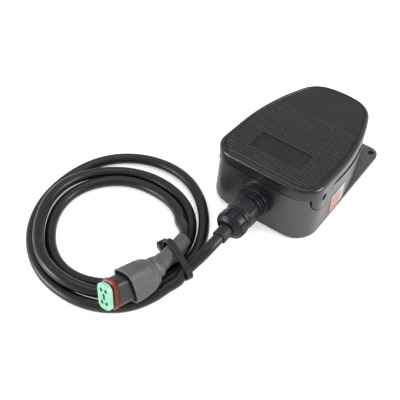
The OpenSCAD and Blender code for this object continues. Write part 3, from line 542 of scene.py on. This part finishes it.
# The longest step along the rim, and the distance under which two arcs share a point
RIM_STEP = 0.7
SAME_POINT = 1e-4
rim = plan(0)
kept = [i for i in range(len(rim)) if math.dist(rim[i], rim[i - 1]) > SAME_POINT]
rim = [rim[i] for i in kept]
cuts = [max(1, math.ceil(math.dist(p, q) / RIM_STEP)) for p, q in zip(rim, rim[1:] + rim[:1])]


def outline(inset):
    """The plan outline inset all round, in short steps that match from one inset to the next."""
    every = plan(inset)
    points = [every[i] for i in kept]
    found = []
    for m, (x0, y0), (x1, y1) in zip(cuts, points, points[1:] + points[:1]):
        found += [(x0 + (x1 - x0) * k / m, y0 + (y1 - y0) * k / m) for k in range(m)]
    return found


def top_at(y):
    return TOP_Z - SLOPE * (y - REAR_Y)


def skirt_at(x, y):
    z = min(LEVEL_Z, top_at(y) - SKIRT_H)
    if abs(x) < EAR_X or not PIVOT_Y - EAR_R <= y <= FILLET_Y:
        return z
    lobe = EAR_R ** 2 - (y - PIVOT_Y) ** 2
    fillet = FILLET_R ** 2 - (y - FILLET_Y) ** 2
    if lobe >= 0 and y < PIVOT_Y + EAR_R * 0.99:
        return min(z, PIVOT_Z - math.sqrt(lobe))
    return min(z, FILLET_Z + math.sqrt(max(fillet, 0)))


edge = [skirt_at(x, y) for x, y in outline(0)]
print("rim of", len(edge), "points, ears down to", round(min(edge), 2))

# %% Pedal shell
# The small round of the lower edge, and the groove as (inset, depth below the top)
HEM = 0.3
GROOVE =[(3.4, 0.02), (3.6, 0.3), (4.0, 0.3), (4.2, 0), (4.5, 0)]


def level(inset, drop):
    return [(x, y, top_at(y) - drop) for x, y in outline(inset)]


def hem(inset, lift):
    return [(x, y, z + lift) for (x, y), z in zip(outline(inset), edge)]


quarter = np.radians(np.linspace(0, 90, 9))
rolled = [(ROLL_R * (1 - math.cos(a)), ROLL_R * (1 - math.sin(a))) for a in quarter]
rings = [level(WALL + HEM, WALL), hem(WALL, HEM), hem(WALL - HEM, 0), hem(HEM, 0), hem(0, HEM)]
rings += [level(inset, drop) for inset, drop in rolled + GROOVE]
pedal = bpy.data.objects.new("pedal_shell", rings_mesh("pedal_shell", rings, 40))
place(pedal, "pedal_body", None, ("pedal",))

# %% Cut the blank field and the pin bores
BLANK_X = (-21, 20)
BLANK_Y = (-40.8, -21.8)
BLANK_DEPTH = 0.3
PIN_BORE_R = 2.8
DRILL_REACH = 60


def cutter(name, rings):
    obj = bpy.data.objects.new(name, rings_mesh(name, rings))
    bpy.context.scene.collection.objects.link(obj)
    cut = pedal.modifiers.new(name, "BOOLEAN")
    cut.operation, cut.solver, cut.object = "DIFFERENCE", "EXACT", obj
    return obj


field = [(x, y) for x, y in zip(BLANK_X + BLANK_X[::-1], (BLANK_Y[0],) * 2 + (BLANK_Y[1],) * 2)]
slab = [[(x, y, top_at(y) + dz) for x, y in field] for dz in (-BLANK_DEPTH, 2)]
bore = [(PIVOT_Y + PIN_BORE_R * math.cos(a), PIVOT_Z + PIN_BORE_R * math.sin(a)) for a in around(48)]
drill = [[(x, y, z) for y, z in bore] for x in (-DRILL_REACH, DRILL_REACH)]
tools = [cutter("blank_cut", slab), cutter("pin_cut", drill)]
baked(pedal)
for tool in tools:
    bpy.data.objects.remove(tool)
smooth(pedal.data, 40)

# %% Gloss on the rolled edge, matte on the flat top
FACES_UP = 0.985
TOP_ABOVE = 30 * MM
pedal.data.materials.clear()
pedal.data.materials.append(LOOKS["pedal_gloss"])
pedal.data.materials.append(LOOKS["pedal_plastic"])
matte = [int(f.normal.z > FACES_UP and f.center.z > TOP_ABOVE) for f in pedal.data.polygons]
pedal.data.polygons.foreach_set("material_index", matte)
print("pedal", len(pedal.data.vertices), "points,", sum(matte), "matte faces")

# %% [markdown]
# ## Tread ribs
# Twenty seven low ribs cross the top, 2.65 mm apart, and stop at a plain rectangle. Each is a round bar
# that stands 0.6 mm proud. A Geometry Nodes tree turns loose edges into bars, so one list of rib ends
# and one radius set the whole tread.


# %% Trees of Geometry Nodes
def geometry_tree(name, **inputs):
    """A tree from geometry to geometry, with a named input for each size and for the material."""
    tree = bpy.data.node_groups.new(name, "GeometryNodeTree")
    tree.interface.new_socket("Geometry", in_out="INPUT", socket_type="NodeSocketGeometry")
    for label, kind in inputs.items():
        tree.interface.new_socket(label, in_out="INPUT", socket_type="NodeSocket" + kind)
    tree.interface.new_socket("Material", in_out="INPUT", socket_type="NodeSocketMaterial")
    tree.interface.new_socket("Geometry", in_out="OUTPUT", socket_type="NodeSocketGeometry")
    return tree, tree.nodes.new("NodeGroupInput"), tree.nodes.new("NodeGroupOutput")


def end_tree(tree, gin, gout, made):
    real = add(tree, "GeometryNodeRealizeInstances", {0: made})
    paint = add(tree, "GeometryNodeSetMaterial", {"Geometry": real.outputs[0],
                                                  "Material": gin.outputs["Material"]})
    tree.links.new(paint.outputs[0], gout.inputs[0])
    return tree


def with_nodes(obj, tree, **values):
    made = obj.modifiers.new("nodes", "NODES")
    made.node_group = tree
    for item in tree.interface.items_tree:
        if item.in_out == "INPUT" and item.name in values:
            made[item.identifier] = values[item.name]
    return baked(obj)


def bars_tree():
    tree, gin, gout = geometry_tree("bars", Radius="Float")
    lines = add(tree, "GeometryNodeMeshToCurve", {"Mesh": gin.outputs["Geometry"]})
    circle = add(tree, "GeometryNodeCurvePrimitiveCircle", {"Resolution": 20,
                                                            "Radius": gin.outputs["Radius"]})
    bars = add(tree, "GeometryNodeCurveToMesh", {"Curve": lines.outputs[0],
                                                 "Profile Curve": circle.outputs[0], "Fill Caps": True})
    return end_tree(tree, gin, gout, bars.outputs[0])


# %% Tread ribs
RIB_COUNT = 27
RIB_PITCH = 2.65
RIB_FIRST_Y = -52.4
RIB_R = 0.95
RIB_H = 0.6
RIB_INSET = 5.6
NEAR = 0.8


def half_at(y, inset):
    """Half the width of the inset outline at y, from its points near y."""
    points = [p for p in outline(inset) if p[0] > 0]
    return max((p[0] for p in points if abs(p[1] - y) < NEAR), default=0)


ends = []
for i in range(RIB_COUNT):
    y = RIB_FIRST_Y + i * RIB_PITCH
    z = top_at(y) + RIB_H - RIB_R
    reach = half_at(y, RIB_INSET)
    spans = [(-reach, reach)]
    if BLANK_Y[0] < y < BLANK_Y[1]:
        spans = [(-reach, BLANK_X[0]), (BLANK_X[1], reach)]
    ends += [((x0, y, z), (x1, y, z)) for x0, x1 in spans]
bars = bpy.data.meshes.new("tread")
edges = [(2 * i, 2 * i + 1) for i in range(len(ends))]
bars.from_pydata([Vector(p) * MM for pair in ends for p in pair], edges, [])
tread = bpy.data.objects.new("tread", bars)
place(tread, "pedal_body", None)
with_nodes(tread, bars_tree(), Radius=RIB_R * MM, Material=LOOKS["pedal_plastic"])
smooth(tread.data, 50)
print("tread", len(ends), "bars")

# %% [markdown]
# ## Under the pedal
# Two stiffening ribs, the boss that pushes the plunger and the peg inside the return spring hang from
# the underside. The spring is a real helix of wire and the plunger has a folded rubber cap.


# %% Turned pieces and tubes
def revolve(name, profile, place_at, axis="z", n=48, shape=None, angle=SHARP):
    """A solid of revolution. The profile is a closed list of (place along the axis, radius)."""
    x, y, z = place_at
    made = []
    for i in range(n):
        a = 2 * math.pi * i / n
        ring = []
        for along, r in profile:
            if shape:
                r = shape(along, r, a)
            u, v = r * math.cos(a), r * math.sin(a)
            ring.append((x + u, y + v, along) if axis == "z" else (x + u, along, z + v))
        made.append(ring)
    return rings_mesh(name, made, angle, loop=True)


def tube_mesh(name, path, r, n=12):
    """A round tube along a path, with each ring square to it."""
    made = []
    for i, p in enumerate(path):
        t = unit(np.array(path[min(i + 1, len(path) - 1)]) - np.array(path[max(i - 1, 0)]))
        s = unit(np.cross((0, 0, 1), t)) if abs(t[2]) < 0.999 else np.array((1, 0, 0))
        u = np.cross(t, s)
        made.append([tuple(np.array(p) + r * (math.cos(a) * s + math.sin(a) * u)) for a in around(n)])
    return rings_mesh(name, made, 60)


def piece(name, mesh, body, slot, *replaced):
    return place(bpy.data.objects.new(name, mesh), body, LOOKS[slot], replaced)


# %% Stiffeners, striker and peg
STIFFENER_X = 24
STIFFENER_Y = (-29, 44)
PLUNGER_Y = -8
STRIKER_R = 4
STRIKER_Z = top_at(PLUNGER_Y) - WALL - 1.2
UNDER = top_at(PLUNGER_Y) - WALL + 0.2
SPRING_Y = 25
SPRING_Z0 = 14.73
SPRING_Z1 = top_at(31.6) - WALL - 0.8
PEG_R = 4.6
BOX = [(0, 1, 3, 2), (4, 6, 7, 5), (0, 4, 5, 1), (2, 3, 7, 6), (0, 2, 6, 4), (1, 5, 7, 3)]
for side, label in ((-1, "left"), (1, "right")):
    name = "stiffener_" + label
    span = [(side * STIFFENER_X + dx, y, top_at(y) - WALL + dz)
            for dz in (0.2, -2.4) for y in STIFFENER_Y for dx in (-1, 1)]
    piece(name, mesh_of(name, span, BOX), "pedal_body", "pedal_plastic")
striker = [(STRIKER_Z, 0.2), (STRIKER_Z, STRIKER_R - 0.5), (STRIKER_Z + 0.5, STRIKER_R), (UNDER, STRIKER_R),
           (UNDER, 0.2)]
piece("striker", revolve("striker", striker, (0, PLUNGER_Y, 0)), "pedal_body", "pedal_plastic")
peg = [(SPRING_Z1 - 2.2, 0.2), (SPRING_Z1 - 2.2, PEG_R - 0.6), (SPRING_Z1 - 1.6, PEG_R),
       (SPRING_Z1 + 2, PEG_R), (SPRING_Z1 + 2, 0.2)]
piece("spring_peg", revolve("spring_peg", peg, (0, SPRING_Y, 0)), "pedal_body", "pedal_plastic")
print("striker ends at", round(STRIKER_Z, 2))

# %% Spring and cap
SPRING_R = 5.9
SPRING_WIRE = 0.7
SPRING_TURNS = 6
TURN_STEPS = 36
CAP_Z0 = 33.03
CAP_Z1 = STRIKER_Z - 0.4
CAP_TOP = STRIKER_Z - 1
CAP_R = 4.75
CAP_FOLD = 0.45
CAP_STEPS = 12
wound = 2 * math.pi * SPRING_TURNS
height = SPRING_Z1 - SPRING_Z0
winding = [(SPRING_R * math.cos(a), SPRING_Y + SPRING_R * math.sin(a), SPRING_Z0 + height * a / wound)
           for a in np.linspace(0, wound, TURN_STEPS * SPRING_TURNS + 1)]
spring_mesh = tube_mesh("spring_wire", winding, SPRING_WIRE, 10)
spring = piece("spring_wire", spring_mesh, "base_body", "steel", "return_spring")
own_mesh(spring)
folds = [(CAP_Z0 + (CAP_Z1 - CAP_Z0) * i / CAP_STEPS, CAP_R - CAP_FOLD * math.cos(math.pi * i / 2))
         for i in range(CAP_STEPS + 1)]
cap_profile = [(CAP_Z0, 3.6)] + folds + [(CAP_Z1, 0.15), (CAP_TOP, 0.15), (CAP_TOP, 3.6)]
cap_mesh = revolve("plunger_cap", cap_profile, (0, PLUNGER_Y, 0))
cap = piece("plunger_cap", cap_mesh, "base_body", "black_rubber", "plunger_bellows")
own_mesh(cap)

# %% [markdown]
# ## The cable gland
# The gland is a bought fitting, screwed through the wall: a flanged body with ring grooves, a long nut
# with six flats, a crown of ten claws that grips the jacket, a domed end and a short rubber sleeve.
# Turned parts are lathed from their profiles. The flats are cut by limiting the radius at each angle,
# and the claws are one claw that a Geometry Nodes tree repeats round the axis.

# %% Gland profiles
BORE = 4.05
AXIS = (0, 0, GLAND_Z)
# The flats of the nut: their distance from the axis, their two ends, and the radius that they spare
FLAT_R = 10.15
FLAT_FROM = -80.6
FLAT_TO = -71
SPARED_R = 9
# Closed profiles of (place along the part, radius)
BODY =[(-50.5, BORE), (-50.5, 7.5), (-61.33, 7.5), (-61.33, 12.5), (-62.3, 12.5), (-62.3, 11.9),
        (-62.9, 11.9), (-62.9, 12.5), (-64.8, 12.3), (-64.8, 10.4), (-66.2, 10.4), (-66.2, 9.7), (-67, 9.7),
        (-67, 10.4), (-69.2, 10.4), (-69.2, BORE)]
NUT = [(-69.25, BORE), (-69.25, 9.6), (-69.9, 10.3), (-71, 10.35), (-71.3, 10.9), (-80.3, 10.9),
       (-80.6, 10.4), (-81.6, 10.4), (-81.7, 9.9), (-82.3, 9.9), (-82.4, 10.3), (-83.8, 10.2), (-83.8, BORE)]
CROWN = [(-83.83, BORE), (-83.83, 9.9), (-91.6, 9.8), (-92.3, 10.3), (-94.0, 8.5), (-94.9, 7.4),
         (-95.3, 5.9), (-95.3, BORE)]
SLEEVE = [(-95.33, BORE), (-95.33, 5.3), (-102.5, 5.1), (-102.7, 5.3), (-103.6, 5.25), (-104.2, 4.8),
          (-104.2, BORE)]
TAIL = [(-46, 0.2), (-46, 4), (-104.2, 4), (-104.2, 0.2)]
CLAW = [(-84.1, 9.6), (-84.1, 10.5), (-86, 10.85), (-90.5, 10.95), (-91.9, 10.5), (-91.9, 9.6)]


def rounded(profile, r, n=3):
    """The closed profile with each corner replaced by a small curve of n steps."""
    made = []
    for i, p in enumerate(profile):
        p, a, b = (np.array(q, float) for q in (p, profile[i - 1], profile[(i + 1) % len(profile)]))
        ra, rb = (min(r, np.linalg.norm(q - p) * 0.45) for q in (a, b))
        pa, pb = p + unit(a - p) * ra, p + unit(b - p) * rb
        steps = np.linspace(0, 1, n + 1)
        made += [tuple((1 - t) ** 2 * pa + 2 * t * (1 - t) * p + t * t * pb) for t in steps]
    return made


def flats(along, r, a):
    """The radius of the nut, held in to six flats over its long middle."""
    turn = (math.degrees(a) + 30) % 60 - 30
    flat = FLAT_R / math.cos(math.radians(turn))
    return min(r, flat) if FLAT_FROM < along < FLAT_TO and r > SPARED_R else r


# %% Gland pieces
def lathed(name, profile, slot, node, n=96, shape=None, angle=SHARP):
    return piece(name, revolve(name, profile, AXIS, "y", n, shape, angle), "base_body", slot, node)


gland = [
    lathed("gland_flange", rounded(BODY, 0.2), "gland_plastic", "gland_body"),
    lathed("gland_flats", rounded(NUT, 0.25), "gland_plastic", "gland_nut", 144, flats, 24),
    lathed("gland_core", rounded(CROWN, 0.5, 5), "gland_plastic", "gland_crown"),
    lathed("sleeve_end", rounded(SLEEVE, 0.3), "black_rubber", "cord_sleeve", 64),
    lathed("cable_inside", rounded(TAIL, 0.3), "cord_jacket", "cord_tail", 48),
]
print("lathed", len(gland), "pieces")

# %% Claws
CLAW_COUNT = 10
# The turn of each ring of a claw in degrees, and how far it is drawn in, which rounds its two sides
CLAW_TURNS = [(-14, 0.3), (-13.4, 0), (-10, 0), (-6.7, 0), (-3.3, 0), (0, 0), (3.3, 0), (6.7, 0), (10, 0),
              (13.4, 0), (14, 0.3)]


def claw_ring(degrees, inset):
    a = math.radians(degrees)
    return [((r - inset) * math.sin(a), y, (r - inset) * math.cos(a)) for y, r in rounded(CLAW, 0.35)]


def claws_tree():
    tree, gin, gout = geometry_tree("claws", Count="Int", Height="Float")
    axis = add(tree, "ShaderNodeCombineXYZ", {"Z": gin.outputs["Height"]})
    points = add(tree, "GeometryNodePoints", {"Count": gin.outputs["Count"], "Position": axis.outputs[0]})
    index = add(tree, "GeometryNodeInputIndex")
    share = add(tree, "ShaderNodeMath", {0: 2 * math.pi, 1: gin.outputs["Count"]}, operation="DIVIDE")
    about = add(tree, "ShaderNodeCombineXYZ", {"Y": times(tree, index.outputs[0], share.outputs[0])})
    copies = add(tree, "GeometryNodeInstanceOnPoints", {
        "Points": points.outputs[0], "Instance": gin.outputs["Geometry"], "Rotation": about.outputs[0]})
    return end_tree(tree, gin, gout, copies.outputs[0])


claw_rings = [claw_ring(degrees, inset) for degrees, inset in CLAW_TURNS]
claws = piece("gland_claws", rings_mesh("gland_claws", claw_rings), "base_body", "gland_plastic")
with_nodes(claws, claws_tree(), Count=CLAW_COUNT, Height=GLAND_Z * MM, Material=LOOKS["gland_plastic"])
smooth(claws.data)
gland.append(claws)
print("claws", len(claws.data.vertices), "points")

# %% [markdown]
# ## The boot
# The boot is a grey moulded sleeve, soft enough to be pulled over the plug. It is tight on the cable,
# swells to an oval and is turned with the plug, which leans on the coil. Its mouth is cut askew. A
# table with the same places as in the solids gives its axis and its half sizes, and a smooth curve
# gives the rings between them. Two creases and some low folds cross it where it bends, so the rings
# are pressed in there. A crease swings along the boot as it goes round, as it does on soft rubber.

# %% Boot places
PLUG_AT = (-21.9, -171.0, 24.4)
PLUG_TURN = math.radians(-9.4)
PLUG_RISE = math.radians(18)
PLUG_ROLL = 70
PLUG_DIR = np.array((math.sin(PLUG_TURN) * math.cos(PLUG_RISE), -math.cos(PLUG_TURN) * math.cos(PLUG_RISE),
                     math.sin(PLUG_RISE)))
# Place, half width, half height, squareness (1 is an ellipse) and roll in degrees
BOOT = [
    (-21.8, -114.5, 14.1, 5.2, 5.2, 1, 0),
    (-21.3, -119, 14.4, 5.3, 5.3, 1, 0),
    (-20.9, -123.4, 14.8, 5.4, 5.4, 1, 0),
    (-20.5, -128, 15.5, 5.5, 5.5, 1, 0),
    (-20.1, -133, 16.4, 5.5, 5.6, 1, 0),
    (-19.7, -138, 17.5, 5.7, 6, 0.9, 8),
    (-19.3, -144, 19, 6.6, 6.6, 0.85, 28),
    (-19.2, -150, 20.2, 8.8, 7.6, 0.7, 50),
    (-19.5, -156, 21, 11.2, 8.5, 0.6, 64),
    (-20.5, -163, 22.2, 11.8, 8.7, 0.55, PLUG_ROLL),
    (*PLUG_AT, 11.8, 8.8, 0.55, PLUG_ROLL),
]
MOUTH = len(BOOT) - 1
SKEW = 3.2
# Depth, place, swing along the boot, its turn, and width of each crease
CREASES = [(0.75, 5.75, 0.22, 0.4, 0.17), (0.95, 6.8, 0.3, -0.5, 0.2)]


# %% Boot
def boot_press(t, a):
    """How far the boot stands out or is pressed in at one point of a ring."""
    press = 0
    for depth, at, swing, turn, width in CREASES:
        press -= depth * math.exp(-(((t - at - swing * math.sin(a + turn)) / width) ** 2))
    # Low folds fade in and out round two places, one on the swell and one on the narrow neck
    press += 0.16 * math.exp(-(((t - 7.6) / 0.8) ** 2)) * math.sin(7 * t + 2.2 * math.sin(a + 0.6))
    press += 0.2 * math.exp(-(((t - 3.9) / 0.7) ** 2)) * math.sin(11 * t + 0.5 * math.cos(a))
    # Two slow waves keep soft rubber from looking turned on a lathe
    return press + 0.12 * math.sin(2 * a + 1.3 * t) + 0.09 * math.sin(3 * a - 2.1 * t)


def boot_ring(t, grow=0.0, slide=0.0):
    *at, w, h, square, roll = spline(BOOT, t)
    ahead = spline(BOOT, min(t + 0.2, MOUTH - 0.001))[:3]
    behind = spline(BOOT, max(t - 0.2, 0))[:3]
    mix = min(max(t - MOUTH + 1, 0), 1)
    heading = unit(unit(ahead - behind) * (1 - mix) + PLUG_DIR * mix)
    level_side = unit(np.cross((0, 0, 1), heading))
    upright = np.cross(heading, level_side)
    turn = math.radians(roll)
    side = math.cos(turn) * level_side - math.sin(turn) * upright
    lift = math.cos(turn) * upright + math.sin(turn) * level_side
    slant = side - SKEW * mix / w * heading
    made = []
    for a in around(72):
        c, d = math.cos(a), math.sin(a)
        extra = boot_press(t, a) * (1 - mix) * min(t, 1) + grow
        out = (w + extra) * math.copysign(abs(c) ** square, c)
        high = (h + extra) * math.copysign(abs(d) ** square, d)
        made.append(tuple(np.array(at) + out * slant + high * lift + slide * heading))
    return made


boot_rings = [boot_ring(0, -0.9), boot_ring(0, -0.3), boot_ring(0.02)]
boot_rings += [boot_ring(t) for t in np.linspace(0.15, 9.85, 118)]
boot_rings += [boot_ring(9.97, 0.15)]
# The lip of the mouth: how far it stands out, and how far past the last place it lies
MOUTH_LIP = [(0.2, 0), (0.15, 0.35), (-0.2, 0.5), (-0.8, 0.5), (-1.05, 0.2), (-1.15, -2)]
boot_rings += [boot_ring(MOUTH, grow, slide) for grow, slide in MOUTH_LIP]
boot_mesh = rings_mesh("boot_sleeve", boot_rings, 60)
boot = piece("boot_sleeve", boot_mesh, "base_body", "boot_rubber", "plug_boot")
print("boot", len(boot.data.vertices), "points")

# %% [markdown]
# ## Seal ring and wires
# The seal is a silicone ring with two soft lips round the snout of the plug. Rounded rectangles, each
# turned and placed with the plug, are its rings. The wires inside the housing are thin tubes from the
# end of the jacket to the switch terminals.

# %% Seal
PLUG_W = 18.6
PLUG_H = 12.7
PLUG_CORNER = 4.2
SNOUT_W = PLUG_W - 3.4 + 0.06
SNOUT_H = PLUG_H - 3.4 + 0.06
SNOUT_CORNER = 2.5
# Place along the plug, and how far the seal stands out there past the plug's own outline
LIPS = [(-11.35, -0.5), (-11.4, 0.1), (-11.8, 0.6), (-12.2, 0.1), (-12.6, -0.2), (-13.0, 0.1), (-13.4, 0.6),
        (-13.8, 0.1), (-14.3, -0.5)]


def plug_point(x, y, z):
    r = math.radians(PLUG_ROLL)
    a, b = x * math.cos(r) + z * math.sin(r), -x * math.sin(r) + z * math.cos(r)
    side = np.array((math.cos(PLUG_TURN), math.sin(PLUG_TURN), 0))
    lift = np.cross(PLUG_DIR, side)
    return tuple(np.array(PLUG_AT) - y * PLUG_DIR + a * side + b * lift)


def slab_ring(w, h, r, y):
    x, z = w / 2 - r, h / 2 - r
    made = []
    for cx, cz, a0 in ((x, z, 0), (-x, z, 90), (-x, -z, 180), (x, -z, 270)):
        for a in np.radians(np.linspace(a0, a0 + 90, 10)):
            made.append(plug_point(cx + r * math.cos(a), y, cz + r * math.sin(a)))
    return made


seal_rings = [slab_ring(PLUG_W + 2 * grow, PLUG_H + 2 * grow, PLUG_CORNER + grow, y) for y, grow in LIPS]
inside = [slab_ring(SNOUT_W, SNOUT_H, SNOUT_CORNER, y) for y in (LIPS[0][0], LIPS[-1][0])]
seal_mesh = rings_mesh("seal_lips", [inside[0], *seal_rings, inside[1]], 50, loop=True)
seal = piece("seal_lips", seal_mesh, "base_body", "seal_silicone", "plug_seal")
print("seal", len(seal.data.vertices), "points")

# %% Wires
WIRE_R = 0.68
WIRES = {
    "inner_lead_1": [(0, -46, 20.6), (0, -44, 20.6), (0, -40, 19), (0, -35, 15.4), (0, -30, 11.3),
                     (0, -25, 8), (0, -21.8, 7)],
    "inner_lead_2": [(-1.6, -46, 22), (-1.6, -44, 22), (-1.8, -40, 20.8), (-2.2, -35, 16.4),
                     (-2.4, -30, 11.6), (-2.4, -25, 8.4), (-2.2, -20, 7.2), (-1.9, -13.5, 7)],
    "inner_lead_3": [(1.6, -46, 22), (1.6, -44, 22), (1.8, -40, 20.8), (2, -35, 16.4), (2, -30, 11.6),
                     (2, -25, 8.4), (2, -20, 7.2), (2, -13, 7), (1.9, -6, 7)],
}
for node, way in WIRES.items():
    fine = [tuple(spline(way, t)) for t in np.linspace(0, len(way) - 1.0001, 6 * len(way))]
    name = node + "_wire"
    piece(name, tube_mesh(name, fine, WIRE_R), "base_body", SLOT_OF[node], node)
print(len(WIRES), "wires")

# %% [markdown]
# The gland, the sleeve, the tie, the boot and the plug are the pieces on the cable, gathered in one list.

on_cable = gland + [boot, seal] + [bpy.data.objects[n] for n in (
    "gland_locknut_round", "tie_strap_round", "tie_head_round", "plug_housing_round", "plug_wedge_round")]
on_cable += [NODES[f"plug_contact_{i}"] for i in range(1, 5)]
print("cable declared with", len(on_cable), "pieces")

# %% [markdown]
# ## Studio
# The photograph has a pure white ground. A wide white floor under an even white sky gives it. The floor
# also glows a little, but only for the rays that the camera sees or that a glossy wall mirrors, so it
# reads white without more light on the object. A soft lamp at the right and behind makes the right wall
# paler than the front, as in the photograph. A weak one stands above, and a low one at the left front
# lights the wall there and the side of the boot.

# %% Floor and sky
FLOOR_HALF = 4
FLOOR_Z = -0.00005
GLOW = 0.35
corners = [(x * FLOOR_HALF, y * FLOOR_HALF, FLOOR_Z) for x, y in ((-1, -1), (1, -1), (1, 1), (-1, 1))]
floor_mesh = bpy.data.meshes.new("floor")
floor_mesh.from_pydata(corners, [], [(0, 1, 2, 3)])
floor = bpy.data.objects.new("floor", floor_mesh)
bpy.context.scene.collection.objects.link(floor)
ground = bpy.data.materials.new("ground")
ground.use_nodes = True
tree = ground.node_tree
tree.nodes.remove(tree.nodes["Principled BSDF"])
rays = add(tree, "ShaderNodeLightPath")
seen = add(tree, "ShaderNodeMath", {0: rays.outputs["Is Camera Ray"], 1: rays.outputs["Is Glossy Ray"]},
           operation="MAXIMUM")
glow = add(tree, "ShaderNodeEmission", {"Strength": times(tree, seen.outputs[0], GLOW)})
chalk = add(tree, "ShaderNodeBsdfDiffuse", {"Color": (0.9, 0.9, 0.9, 1)})
total = add(tree, "ShaderNodeAddShader", {0: chalk.outputs[0], 1: glow.outputs[0]})
tree.links.new(total.outputs[0], tree.nodes["Material Output"].inputs["Surface"])
floor_mesh.materials.append(ground)
sky = bpy.data.worlds.new("sky")
sky.use_nodes = True
sky.node_tree.nodes["Background"].inputs["Color"].default_value = (1, 1, 1, 1)
sky.node_tree.nodes["Background"].inputs["Strength"].default_value = 1.0
bpy.context.scene.world = sky
print("floor", 2 * FLOOR_HALF, "m wide")


# %% Lamps
def lamp(name, at, aim, size, power):
    data = bpy.data.lights.new(name, "AREA")
    data.shape, data.size, data.energy = "DISK", size, power
    obj = bpy.data.objects.new(name, data)
    bpy.context.scene.collection.objects.link(obj)
    obj.location = at
    obj.rotation_mode = "QUATERNION"
    obj.rotation_quaternion = (Vector(aim) - Vector(at)).to_track_quat("-Z", "Y")


lamp("above", (-0.1, 0.1, 1.2), (0, 0, 0), 0.9, 4)
lamp("right_back", (0.95, 0.4, 0.5), (0.02, 0, 0.02), 0.7, 14)
lamp("left_low", (-0.55, -0.75, 0.12), (-0.03, -0.06, 0.02), 0.5, 9)
bpy.context.scene.view_settings.view_transform = "Standard"
print(len(bpy.data.lights), "lamps")
